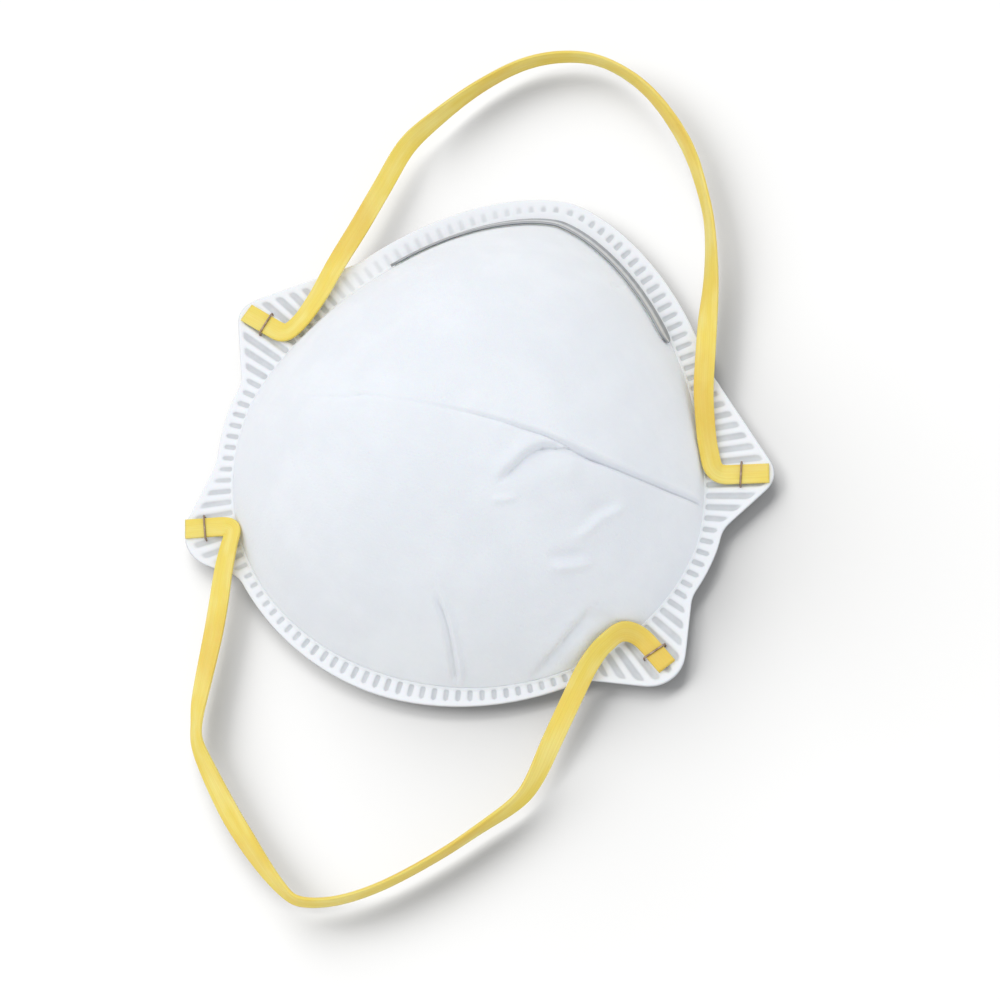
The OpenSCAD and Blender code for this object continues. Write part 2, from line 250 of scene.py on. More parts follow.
def slab(front: Array, back: Array) -> tuple[Array, Faces]:
    """Close two grids of points of one size into a thin solid.

    Args:
        front: Rows by columns by 3, the face that is seen.
        back: The same grid on the other side.

    Returns:
        Points and faces of the closed solid.
    """
    rows, columns = front.shape[:2]
    count = rows * columns
    points = np.vstack([front.reshape(-1, 3), back.reshape(-1, 3)])
    faces = grid_faces(rows, columns) + grid_faces(rows, columns, count, True)
    edge = grid_border(rows, columns)
    for here, after in zip(edge, edge[1:] + edge[:1]):
        faces.append((after, here, here + count, after + count))
    return points, faces


def sweep(path: Array, wide: Array, thick: Array, section: Array) -> tuple[Array, Faces]:
    """Carry a closed section along a path.

    Args:
        path: Rows of the path's points.
        wide: Unit vectors of the section's first axis, one for each point.
        thick: Unit vectors of its second axis.
        section: Rows of the section's own two coordinates.

    Returns:
        Points and faces of the solid, with closed ends.
    """
    count, corners = len(path), len(section)
    points = (
        path[:, None, :]
        + wide[:, None, :] * section[None, :, :1]
        + thick[:, None, :] * section[None, :, 1:]
    ).reshape(-1, 3)
    faces: Faces = []
    for i in range(count - 1):
        for k in range(corners):
            low, high = i * corners, (i + 1) * corners
            after = (k + 1) % corners
            faces.append((low + k, low + after, high + after, high + k))
    faces.append(tuple(range(corners))[::-1])
    faces.append(tuple((count - 1) * corners + k for k in range(corners)))
    return points, faces


def rounded_section(width: float, height: float, radius: float, steps: int = 4) -> Array:
    """Corners of a rectangle with rounded corners.

    Args:
        width: Full width.
        height: Full height.
        radius: Corner radius.
        steps: Steps in each corner.

    Returns:
        Rows of X and Y, counter-clockwise.
    """
    rows = []
    for quarter, (sx, sy) in enumerate(((1, 1), (-1, 1), (-1, -1), (1, -1))):
        for step in range(steps + 1):
            angle = math.radians(90 * (quarter + step / steps))
            rows.append(
                (
                    sx * (width / 2 - radius) + radius * math.cos(angle),
                    sy * (height / 2 - radius) + radius * math.sin(angle),
                )
            )
    return np.array(rows)


# ---------------------------------------------------------------- finishes


class Recipe:
    """A material's node tree, added to step by step."""

    def __init__(self, name: str) -> None:
        """Start an empty material with one Principled shader.

        Args:
            name: Name of the material.
        """
        self.material = bpy.data.materials.new(name)
        self.material.use_nodes = True
        self.tree = self.material.node_tree
        self.tree.nodes.clear()
        self.shader = self.node("ShaderNodeBsdfPrincipled")
        self.node("ShaderNodeOutputMaterial", {"Surface": self.shader.outputs["BSDF"]})
        self.place = self.node("ShaderNodeTexCoord").outputs["Object"]

    def node(self, kind: str, inputs: dict[str, object] | None = None, **settings: object) -> bpy.types.Node:
        """Add a node, set its own properties and fill its inputs.

        Args:
            kind: The node's type.
            inputs: Outputs to link or plain values, by the name of the input.
            settings: Properties set on it.

        Returns:
            The new node.
        """
        made = self.tree.nodes.new(kind)
        for key, value in settings.items():
            setattr(made, key, value)
        for key, value in (inputs or {}).items():
            self.feed(made.inputs[key], value)
        return made

    def join(self, source: Socket, target: Socket) -> None:
        """Link two sockets."""
        self.tree.links.new(source, target)

    def feed(self, socket: Socket, value: object) -> None:
        """Link a socket into another, or set its plain value.

        Args:
            socket: Input to fill.
            value: Output to link, or a plain value.
        """
        if isinstance(value, Socket):
            self.join(value, socket)
        else:
            socket.default_value = value

    def stretched(self, scale: Point3, source: object = None) -> Socket:
        """Coordinates scaled along each axis.

        Args:
            scale: Repeats in a metre along X, Y and Z.
            source: Coordinates to scale, or None for the object's own.

        Returns:
            The scaled coordinates.
        """
        inputs = {"Vector": self.place if source is None else source, "Scale": scale}
        return self.node("ShaderNodeMapping", inputs).outputs["Vector"]

    def noise(self, where: Socket, scale: float, detail: float = 3.0, rough: float = 0.55) -> Socket:
        """Noise values at some coordinates.

        Args:
            where: Coordinates.
            scale: Repeats in a unit of them.
            detail: Layers of finer noise.
            rough: Strength of the finer layers.

        Returns:
            Values of about 0.2 to 0.8.
        """
        inputs = {"Vector": where, "Scale": scale, "Detail": detail, "Roughness": rough}
        return self.node("ShaderNodeTexNoise", inputs).outputs["Fac"]

    def cells(self, where: Socket, scale: float, spread: float = 1.0) -> Socket:
        """Distances to the points of a cell pattern.

        Args:
            where: Coordinates.
            scale: Points in a unit of them.
            spread: Unevenness of the points, from 0 to 1.

        Returns:
            The distances, in steps of the pattern.
        """
        inputs = {"Vector": where, "Scale": scale, "Randomness": spread}
        return self.node("ShaderNodeTexVoronoi", inputs).outputs["Distance"]

    def maths(self, operation: str, *values: object) -> Socket:
        """One step of arithmetic.

        Args:
            operation: Name of the step.
            values: What it works on, linked or plain.

        Returns:
            The result.
        """
        made = self.node("ShaderNodeMath", operation=operation)
        for socket, value in zip(made.inputs, values):
            self.feed(socket, value)
        return made.outputs[0]

    def between(
        self, value: Socket, low: float, high: float, to_low: float = 0.0, to_high: float = 1.0
    ) -> Socket:
        """A value mapped smoothly from one range to another.

        Args:
            value: Value to map.
            low: Start of its range.
            high: End of its range.
            to_low: Result at the start.
            to_high: Result at the end.

        Returns:
            The mapped value, held at both ends.
        """
        inputs = {"Value": value, "From Min": low, "From Max": high, "To Min": to_low, "To Max": to_high}
        return self.node("ShaderNodeMapRange", inputs, interpolation_type="SMOOTHSTEP").outputs["Result"]

    def mixed(self, factor: object, first: object, second: object) -> Socket:
        """Two colours mixed by a factor.

        Args:
            factor: Share of the second colour.
            first: First colour, linked or plain.
            second: Second colour, linked or plain.

        Returns:
            The mixed colour.
        """
        made = self.node("ShaderNodeMix", data_type="RGBA")
        self.feed(made.inputs["Factor"], factor)
        for key, value in (("A", first), ("B", second)):
            socket = next(s for s in made.inputs if s.name == key and s.type == "RGBA")
            self.feed(socket, (*value, 1.0) if isinstance(value, tuple) else value)
        return next(s for s in made.outputs if s.type == "RGBA")

    def raised(self, heights: list[tuple[Socket, float, float]]) -> Socket:
        """Bumps laid one on another.

        Args:
            heights: Each bump's height socket, its depth in metres and its strength.

        Returns:
            The normal that carries them all.
        """
        below: dict[str, object] = {}
        for height, depth, strength in heights:
            inputs = {"Height": height, "Distance": depth, "Strength": strength, **below}
            below = {"Normal": self.node("ShaderNodeBump", inputs).outputs["Normal"]}
        return below["Normal"]

    def finish(self, colour: object, roughness: object, normal: Socket, **plain: float) -> bpy.types.Material:
        """Wire the shader up.

        Args:
            colour: Base colour, plain or linked.
            roughness: Roughness, plain or linked.
            normal: Normal with the bumps.
            plain: Values set on the shader's own sockets, spaces given as _.

        Returns:
            The finished material.
        """
        plain_colour = (*colour, 1.0) if isinstance(colour, tuple) else colour
        self.feed(self.shader.inputs["Base Color"], plain_colour)
        self.feed(self.shader.inputs["Roughness"], roughness)
        self.join(normal, self.shader.inputs["Normal"])
        for key, value in plain.items():
            self.shader.inputs[key.replace("_", " ")].default_value = value
        return self.material


class Finish:
    """A finish, whose name is the record's material slot."""

    name: str

    def make(self) -> bpy.types.Material:
        """Build the material."""
        raise NotImplementedError


def dress(piece: bpy.types.Object, node: str, finish: Finish) -> bpy.types.Object:
    """Give a piece of the mask its finish, and say what it rides on and stands for.

    Args:
        piece: The mesh object.
        node: CAD node that it replaces.
        finish: Its finish.

    Returns:
        The same piece.
    """
    piece.data.materials.append(finish.make())
    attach(piece, Body.MASK.value)
    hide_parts(node)
    LOG.info("%s stands for %s", piece.name, node)
    return piece


@dataclass(frozen=True)
class SpunbondFinish(Finish):
    """Thermally bonded fibre web: loose fibres between rows of small bond points.

    Attributes:
        colour: Colour of the loose web; shade where it lies thinner and at its bond points.
        crease_shade: Painted shade laid into the sharp concave folds, darker than the web.
        clouds: Cloudy spots of the web in a metre.
        fibres: Fibres in a metre across, along and through the web.
        bond_pitch: Distance between bond points, in metres.
        fibre: Height of the fibres, 1 for a plain cover web.
        pressed: Share of that painted crease shade in the sharpest folds.
    """

    name: str
    colour: Colour
    shade: Colour
    crease_shade: Colour = (0.5, 0.51, 0.55)
    clouds: float = 55.0
    fibres: Point3 = (2600.0, 420.0, 1400.0)
    bond_pitch: float = 0.0012
    fibre: float = 1.0
    pressed: float = 0.0

    def make(self) -> bpy.types.Material:
        """Build the web's material.

        Returns:
            The material.
        """
        r = Recipe(self.name)
        cloudy = r.noise(r.place, self.clouds, 4.0, 0.6)
        across, along, up = self.fibres
        ways = ((across, along, up), (along, across, up))
        strands = r.maths("MULTIPLY", *(r.noise(r.stretched(way), 1.0, 2.0) for way in ways))
        askew = {"Vector": r.place, "Rotation": (0.0, 0.0, math.radians(45))}
        rows = r.stretched((1.0, 1.0, 0.35), r.node("ShaderNodeMapping", askew).outputs["Vector"])
        bonds = r.between(r.cells(rows, 1 / self.bond_pitch, spread=0.12), 0.12, 0.34)
        tone = r.mixed(r.between(cloudy, 0.38, 0.66), self.shade, self.colour)
        colour = r.mixed(r.between(bonds, 0.0, 1.0, 0.16, 0.0), tone, self.shade)
        # Painted shade: where the mesh is concave in a fold, the colour turns to the darker crease colour.
        bend = r.node("ShaderNodeNewGeometry").outputs["Pointiness"]
        colour = r.mixed(r.between(bend, 0.41, 0.488, self.pressed, 0.0), colour, self.crease_shade)
        rough = r.between(bonds, 0.0, 1.0, 0.62, 0.8)
        bumps = [(strands, 0.00025 * self.fibre, 0.34), (bonds, 0.00012, 0.22), (cloudy, 0.0006, 0.14)]
        return r.finish(
            colour,
            rough,
            r.raised(bumps),
            Specular_IOR_Level=0.25,
            Sheen_Weight=0.12,
            Sheen_Roughness=0.5,
            Subsurface_Weight=0.08,
            Subsurface_Scale=0.002,
        )


COVER_WEB = SpunbondFinish("cover_web", (0.877, 0.88, 0.915), (0.845, 0.85, 0.888), pressed=0.9)
FILTER_WEB = SpunbondFinish("filter_web", (0.82, 0.83, 0.85), (0.76, 0.77, 0.8), fibre=0.6)
SHELL_WEB = SpunbondFinish("shell_web", (0.8, 0.81, 0.83), (0.7, 0.71, 0.74), fibre=1.8)
LINER_WEB = SpunbondFinish("liner_web", (0.84, 0.845, 0.85), (0.77, 0.775, 0.79), fibre=1.3)


@dataclass(frozen=True)
class WeldedFinish(Finish):
    """Plies melted together: white ribs, and grey grooves between them, grey partly for the glassy fused web
    and partly as painted shade.

    Attributes:
        rib: Colour of a rib; groove in the floor of a groove, partly the glassy fused web and partly painted
            shade.
        top: Height of the ribs, in millimetres; floor of the grooves.
        under: Heights below which the edge keeps the ribs' colour.
        patches: Patches of weaker welding in a metre.
        fibres: Fibres in a metre along X, Y and Z.
    """

    name: str = "welded_web"
    rib: Colour = (0.87, 0.885, 0.91)
    groove: Colour = (0.6, 0.618, 0.64)
    top: float = 0.97
    floor: float = 0.7
    under: Point2 = (0.25, 0.45)
    patches: float = 260.0
    fibres: Point3 = (1900.0, 1900.0, 900.0)

    def make(self) -> bpy.types.Material:
        """Build the rim's material.

        Returns:
            The material.
        """
        r = Recipe(self.name)
        # Painted shade, in part: the low floors of the grooves take the grey groove colour, which also stands
        # for the glassy fused web.
        height = r.node("ShaderNodeSeparateXYZ", {"Vector": r.place}).outputs["Z"]
        pressed = r.between(height, self.floor * MM, self.top * MM, 1.0, 0.0)
        above = r.between(height, self.under[0] * MM, self.under[1] * MM)
        pressed = r.maths("MULTIPLY", pressed, above)
        patchy = r.noise(r.place, self.patches, 3.0)
        depth = r.maths("MULTIPLY", pressed, r.between(patchy, 0.2, 0.7, 0.72, 1.0))
        colour = r.mixed(depth, self.rib, self.groove)
        fibres = r.noise(r.stretched(self.fibres), 1.0, 3.0)
        rough = r.between(pressed, 0.0, 1.0, 0.7, 0.38)
        normal = r.raised([(fibres, 0.00015, 0.3), (patchy, 0.0004, 0.18)])
        gloss = {"Specular_IOR_Level": 0.35, "Subsurface_Weight": 0.06, "Subsurface_Scale": 0.0015}
        return r.finish(colour, rough, normal, **gloss)


@dataclass(frozen=True)
class ElasticFinish(Finish):
    """Extruded yellow elastic: fine lengthwise lines, dusted and a little worn.

    Attributes:
        colour: Plain colour; pale in patches and dust, deep in lines, ripe where it is worn.
        lines: Lines in a metre along and across the band, and so on for patches and wear.
        threads: Scale of the wave that raises threads side by side across the band.
        dust: Specks of dust in a metre.
    """

    name: str = "elastic"
    colour: Colour = (0.87, 0.685, 0.12)
    pale: Colour = (0.90, 0.765, 0.23)
    deep: Colour = (0.7, 0.47, 0.06)
    ripe: Colour = (0.78, 0.5, 0.08)
    lines: Point3 = (14.0, 2900.0, 1.0)
    patches: Point3 = (62.0, 260.0, 1.0)
    wear: Point3 = (34.0, 70.0, 1.0)
    threads: float = 620.0
    dust: float = 900.0

    def make(self) -> bpy.types.Material:
        """Build the band's material.

        Returns:
            The material.
        """
        r = Recipe(self.name)
        along = r.node("ShaderNodeUVMap", uv_map="along").outputs["UV"]
        lines = r.noise(r.stretched(self.lines, along), 1.0, 3.0, 0.6)
        patches = r.noise(r.stretched(self.patches, along), 1.0, 3.0, 0.5)
        worn = r.noise(r.stretched(self.wear, along), 1.0, 2.0, 0.5)
        dust = r.noise(r.place, self.dust, 4.0, 0.7)
        wave = {"Vector": along, "Scale": self.threads, "Distortion": 0.6, "Detail": 1.0, "Detail Scale": 0.4}
        threads = r.node("ShaderNodeTexWave", wave, wave_type="BANDS", bands_direction="Y")
        tone = r.mixed(r.between(patches, 0.36, 0.68), self.colour, self.pale)
        tone = r.mixed(r.between(lines, 0.62, 0.34, 0.0, 0.24), tone, self.deep)
        tone = r.mixed(r.between(worn, 0.44, 0.66, 0.0, 0.5), tone, self.ripe)
        colour = r.mixed(r.between(dust, 0.5, 0.8, 0.0, 0.22), tone, self.pale)
        rough = r.between(dust, 0.3, 0.7, 0.42, 0.62)
        bumps = [(threads.outputs["Fac"], 0.00006, 0.22), (lines, 0.0001, 0.22), (dust, 0.00006, 0.25)]
        gloss = {"Specular_IOR_Level": 0.35, "Subsurface_Weight": 0.08, "Subsurface_Scale": 0.001}
        return r.finish(colour, rough, r.raised(bumps), **gloss)


@dataclass(frozen=True)
class AluminiumFinish(Finish):
    """Rolled soft aluminium with fine lines along its length, lighter on its rounded edges, and painted shade
    along its edges.

    Attributes:
        colour: Colour of the rolled face; bright along its lines and on its rounded edges; dull is painted
            shade along its edges.
        width: Width of the strip, in metres.
        edges: Shares of it at which the painted shade of the lower edge ends and that of the upper one
            begins.
        rolling: Rolling lines in a metre along and across the strip.
        scuffs: Scuffs in a metre.
    """

    name: str = "clip_aluminium"
    colour: Colour = (0.62, 0.63, 0.65)
    bright: Colour = (0.76, 0.77, 0.79)
    dull: Colour = (0.35, 0.36, 0.375)
    width: float = 0.0055
    edges: Point4 = (0.04, 0.1, 0.3, 0.48)
    rolling: Point3 = (25.0, 5200.0, 1.0)
    scuffs: float = 420.0

    def make(self) -> bpy.types.Material:
        """Build the clip's material.

        Returns:
            The material.
        """
        r = Recipe(self.name)
        along = r.node("ShaderNodeUVMap", uv_map="along").outputs["UV"]
        rolled = r.noise(r.stretched(self.rolling, along), 1.0, 4.0, 0.65)
        worn = r.noise(r.place, self.scuffs, 4.0, 0.6)
        edge = r.node("ShaderNodeNewGeometry").outputs["Pointiness"]
        tone = r.mixed(r.between(rolled, 0.35, 0.65), self.colour, self.bright)
        colour = r.mixed(r.between(edge, 0.51, 0.6, 0.0, 0.7), tone, self.bright)
        # Painted shade: the strip turns to the dull colour along its lower edge and towards its upper one,
        # shadow laid into the colour.
        place = r.node("ShaderNodeSeparateXYZ", {"Vector": along}).outputs["Y"]
        low, clear, fading, high = (self.width * share for share in self.edges)
        colour = r.mixed(r.between(place, low, clear), self.dull, colour)
        colour = r.mixed(r.between(place, fading, high, 0.0, 0.9), colour, self.dull)
        scuffed = r.between(worn, 0.45, 0.7, 0.0, 0.14)
        rough = r.maths("ADD", r.between(rolled, 0.3, 0.7, 0.34, 0.44), scuffed)
        normal = r.raised([(rolled, 0.00003, 0.5), (worn, 0.0002, 0.15)])
        return r.finish(colour, rough, normal, Metallic=0.85, Anisotropic=0.35)


@dataclass(frozen=True)
class GlueFinish(Finish):
    """Clear hot-melt glue with small bubbles.

    Attributes:
        colour: Colour of clear glue; dull where it drifts.
        bubbles: Bubbles in a metre.
        drift: Cloudy places in a metre.
    """

    name: str = "adhesive"
    colour: Colour = (0.82, 0.82, 0.76)
    dull: Colour = (0.74, 0.74, 0.68)
    bubbles: float = 1500.0
    drift: float = 300.0

    def make(self) -> bpy.types.Material:
        """Build the glue's material.

        Returns:
            The material.
        """
        r = Recipe(self.name)
        bubbles = r.cells(r.place, self.bubbles)
        drift = r.noise(r.place, self.drift, 3.0)
        colour = r.mixed(r.between(drift, 0.4, 0.65), self.colour, self.dull)
        rough = r.between(drift, 0.3, 0.7, 0.2, 0.36)
        normal = r.raised([(bubbles, 0.00008, 0.4), (drift, 0.0003, 0.25)])
        return r.finish(colour, rough, normal, Subsurface_Weight=0.2, Subsurface_Scale=0.001)


@dataclass(frozen=True)
class FoamFinish(Finish):
    """Open-cell foam: round pores of two sizes with thin bright walls, the pores painted dark as their shade.

    Attributes:
        colour: Colour of the walls; deep is painted shade inside the pores.
        pores: Large and small pores in a metre.
        drift: Darker places in a metre.
    """

    name: str = "foam"
    colour: Colour = (0.46, 0.47, 0.49)
    deep: Colour = (0.2, 0.205, 0.215)
    pores: Point2 = (1250.0, 2900.0)
    drift: float = 160.0

    def make(self) -> bpy.types.Material:
        """Build the foam's material.

        Returns:
            The material.
        """
        r = Recipe(self.name)
        pores = r.between(r.cells(r.place, self.pores[0]), 0.22, 0.62)
        fine = r.between(r.cells(r.place, self.pores[1]), 0.2, 0.6)
        drift = r.noise(r.place, self.drift, 3.0)
        # Painted shade: the pores take the deep colour, as the shade inside the holes.
        open_cells = r.maths("MULTIPLY", pores, r.between(fine, 0.0, 1.0, 0.6, 1.0))
        walls = r.mixed(open_cells, self.deep, self.colour)
        colour = r.mixed(r.between(drift, 0.35, 0.7, 0.0, 0.25), walls, self.deep)
        normal = r.raised([(pores, 0.0006, 0.7), (fine, 0.0003, 0.4)])
        return r.finish(colour, 0.93, normal, Specular_IOR_Level=0.15, Sheen_Weight=0.1)


@dataclass(frozen=True)
class StapleFinish(Finish):
    """Coppered steel wire, darkened by handling and rubbed bright in places.

    Attributes:
        colour: Colour of the dark wire; bright where it is rubbed.
        tarnish: Tarnished places in a metre.
        drawing: Drawing lines in a metre along X, Y and Z.
    """

    name: str = "staple_steel"
    colour: Colour = (0.30, 0.215, 0.165)
    bright: Colour = (0.55, 0.44, 0.36)
    tarnish: float = 900.0
    drawing: Point3 = (5200.0, 900.0, 5200.0)

    def make(self) -> bpy.types.Material:
        """Build the wire's material.

        Returns:
            The material.
        """
        r = Recipe(self.name)
        tarnish = r.noise(r.place, self.tarnish, 4.0, 0.65)
        drawn = r.noise(r.stretched(self.drawing), 1.0, 2.0)
        colour = r.mixed(r.between(tarnish, 0.45, 0.75, 0.0, 0.8), self.colour, self.bright)
        rough = r.between(tarnish, 0.3, 0.75, 0.46, 0.28)
        normal = r.raised([(drawn, 0.00003, 0.4), (tarnish, 0.00005, 0.3)])
        return r.finish(colour, rough, normal, Metallic=0.9)


@dataclass(frozen=True)
class FloorFinish(Finish):
    """Plain matt white table that reads as plain white outside the shadow.

    Attributes:
        colour: Share of light that it throws back.
        lift: Light of its own, for the eye only.
        grain: Grain in a metre.
    """

    name: str = "white_table"
    colour: Colour = (0.25, 0.25, 0.25)
    lift: float = 0.1
    grain: float = 800.0

    def make(self) -> bpy.types.Material:
        """Build the table's material, lifted only where it is looked at.

        Returns:
            The material.
        """
        r = Recipe(self.name)
        path = r.node("ShaderNodeLightPath")
        seen = r.maths("MAXIMUM", path.outputs["Is Camera Ray"], path.outputs["Is Glossy Ray"])
        seen = r.maths("MAXIMUM", seen, path.outputs["Is Transmission Ray"])
        grain = r.noise(r.place, self.grain, 2.0)
        r.finish(self.colour, 0.95, r.raised([(grain, 0.00001, 0.05)]), Specular_IOR_Level=0.0)
        r.shader.inputs["Emission Color"].default_value = (1.0, 1.0, 1.0, 1.0)
        r.join(r.maths("MULTIPLY", seen, self.lift), r.shader.inputs["Emission Strength"])
        return r.material


# ---------------------------------------------------------------- studio


@dataclass
class Studio:
    """Camera, table and soft light.

    Attributes:
        middle: Place that the camera's axis turns about.
        tilt: Angle of the view from straight above, in degrees.
        bearing: Direction from which the camera looks, in degrees from +X.
        distance: Distance of the camera from the middle.
        shift: How far the aim lies across and above the middle.
        turn: Roll of the camera, in degrees.
        lens: Focal length.
        clip: Nearest and farthest distance that it sees, in metres.
        table: Side of the square table, in metres.
        sink: Depth of the table under the rim, which stands a little proud of it.
        key: The mask's lamp: the direction its light comes from, its power and its width in degrees.
        low: The table's own lamps, in the same terms.
        lamp_colour: Colour of all lamps.
        sky: Strength of the sky.
        sky_colour: Its colour.
    """

    middle: Point3 = (0.0, -6.79, 0.0)
    tilt: float = 22.9
    bearing: float = -51.2
    distance: float = 970.0
    shift: Point2 = (9.3, -3.8)
    turn: float = -21.36
    lens: float = 134.8
    clip: Point2 = (0.05, 20.0)
    table: float = 2.4
    sink: float = 3.0
    key: Point5 = (-0.359, 0.191, 0.914, 0.8, 60.0)
    low: tuple[Point5, ...] = (
        (-0.817, -0.029, 0.574, 7.9, 44.0),
        (-0.48, 0.614, 0.627, 7.2, 44.0),
    )
    lamp_colour: Colour = (1.0, 0.992, 0.98)
    sky: float = 0.84
    sky_colour: Colour = (0.955, 0.975, 1.0)

    def camera(self) -> bpy.types.Object:
        """Set the camera up over the lying mask.

        Returns:
            The camera, made the scene's own.
        """
        tilt, bearing = math.radians(self.tilt), math.radians(self.bearing)
        flat = math.sin(tilt)
        back = Vector((flat * math.cos(bearing), flat * math.sin(bearing), math.cos(tilt)))
        above = (Vector((0, 1, 0)) - back * back.y).normalized()
        across = above.cross(back)
        middle = Vector(self.middle)
        place = middle + back * self.distance
        aim = middle + across * self.shift[0] + above * self.shift[1]
        turn = math.radians(self.turn)
        right = across * math.cos(turn) - above * math.sin(turn)
        towards_eye = (place - aim).normalized()
        right = (right - towards_eye * right.dot(towards_eye)).normalized()
        up = towards_eye.cross(right)
        data = bpy.data.cameras.new("camera")
        data.lens = self.lens
        data.clip_start, data.clip_end = self.clip
        camera = bpy.data.objects.new("camera", data)
        bpy.context.scene.collection.objects.link(camera)
        turned = Matrix((right, up, towards_eye)).transposed().to_4x4()
        camera.matrix_world = Matrix.Translation(place * MM) @ turned
        bpy.context.scene.camera = camera
        return camera

    def floor(self) -> bpy.types.Object:
        """Lay the white table just under the rim.

        Returns:
            The table, kept out of the object.
        """
        half = self.table / 2 / MM
        corners = [(x * half, y * half, -self.sink) for x, y in ((-1, -1), (1, -1), (1, 1), (-1, 1))]
        table = make_mesh("table", np.array(corners, float), [(0, 1, 2, 3)])
        table.data.materials.append(FloorFinish().make())
        return table

    def lamp(self, name: str, row: Point5) -> bpy.types.Object:
        """Hang one broad, distant lamp.

        Args:
            name: Name of the lamp.
            row: Direction that its light comes from, its power, and its width in degrees.

        Returns:
            The lamp.
        """
        data = bpy.data.lights.new(name, "SUN")
        *way, data.energy, width = row
        data.angle = math.radians(width)
        data.color = self.lamp_colour
        made = bpy.data.objects.new(name, data)
        bpy.context.scene.collection.objects.link(made)
        made.rotation_mode = "QUATERNION"
        made.rotation_quaternion = Vector(way).to_track_quat("Z", "Y")
        return made

    def light(self, table: bpy.types.Object) -> None:
        """Light the mask from the upper left and the table from lower down.

        Args:
            table: The table, which has lamps of its own for a long soft shadow.
        """
        lamps = [(self.lamp("key", self.key), "EXCLUDE")]
        lamps += [(self.lamp(f"low_{k}", row), "INCLUDE") for k, row in enumerate(self.low)]
        for lamp, state in lamps:
            group = bpy.data.collections.new(f"lit_by_{lamp.name}")
            group.objects.link(table)
            lamp.light_linking.receiver_collection = group
            group.collection_objects[0].light_linking.link_state = state

    def open_sky(self) -> None:
        """Spread a plain sky over both, seen as white by the camera itself."""
        world = bpy.data.worlds.new("sky")
        bpy.context.scene.world = world
        world.use_nodes = True
        tree = world.node_tree
        tree.nodes.clear()
        path = tree.nodes.new("ShaderNodeLightPath")
        output = tree.nodes.new("ShaderNodeOutputWorld")
        either = tree.nodes.new("ShaderNodeMath")
        either.operation = "MAXIMUM"
        tree.links.new(path.outputs["Is Camera Ray"], either.inputs[0])
        tree.links.new(path.outputs["Is Transmission Ray"], either.inputs[1])
        mix = tree.nodes.new("ShaderNodeMixShader")
        tree.links.new(either.outputs[0], mix.inputs["Fac"])
        for slot, (colour, strength) in enumerate(((self.sky_colour, self.sky), ((1.0, 1.0, 1.0), 1.0)), 1):
            made = tree.nodes.new("ShaderNodeBackground")
            made.inputs["Color"].default_value = (*colour, 1.0)
            made.inputs["Strength"].default_value = strength
            tree.links.new(made.outputs[0], mix.inputs[slot])
        tree.links.new(mix.outputs[0], output.inputs["Surface"])
        bpy.context.scene.view_settings.view_transform = "Standard"


# ---------------------------------------------------------------- cup shape


@dataclass(frozen=True)
class Crease:
    """A line pressed into the cup or raised on it.

    Attributes:
        points: Places along it, in the plan of the cup.
        height: Height on its line, negative for a valley.
        width: Distance from the line at which it has faded.
        lean: Share of the height that turns into a step to one side.
        start: Strength at its first point.
        end: Strength at its last point.
    """

    points: tuple[Point2, ...]
    height: float
    width: float
    lean: float = 0.0
    start: float = 0.0
    end: float = 0.0


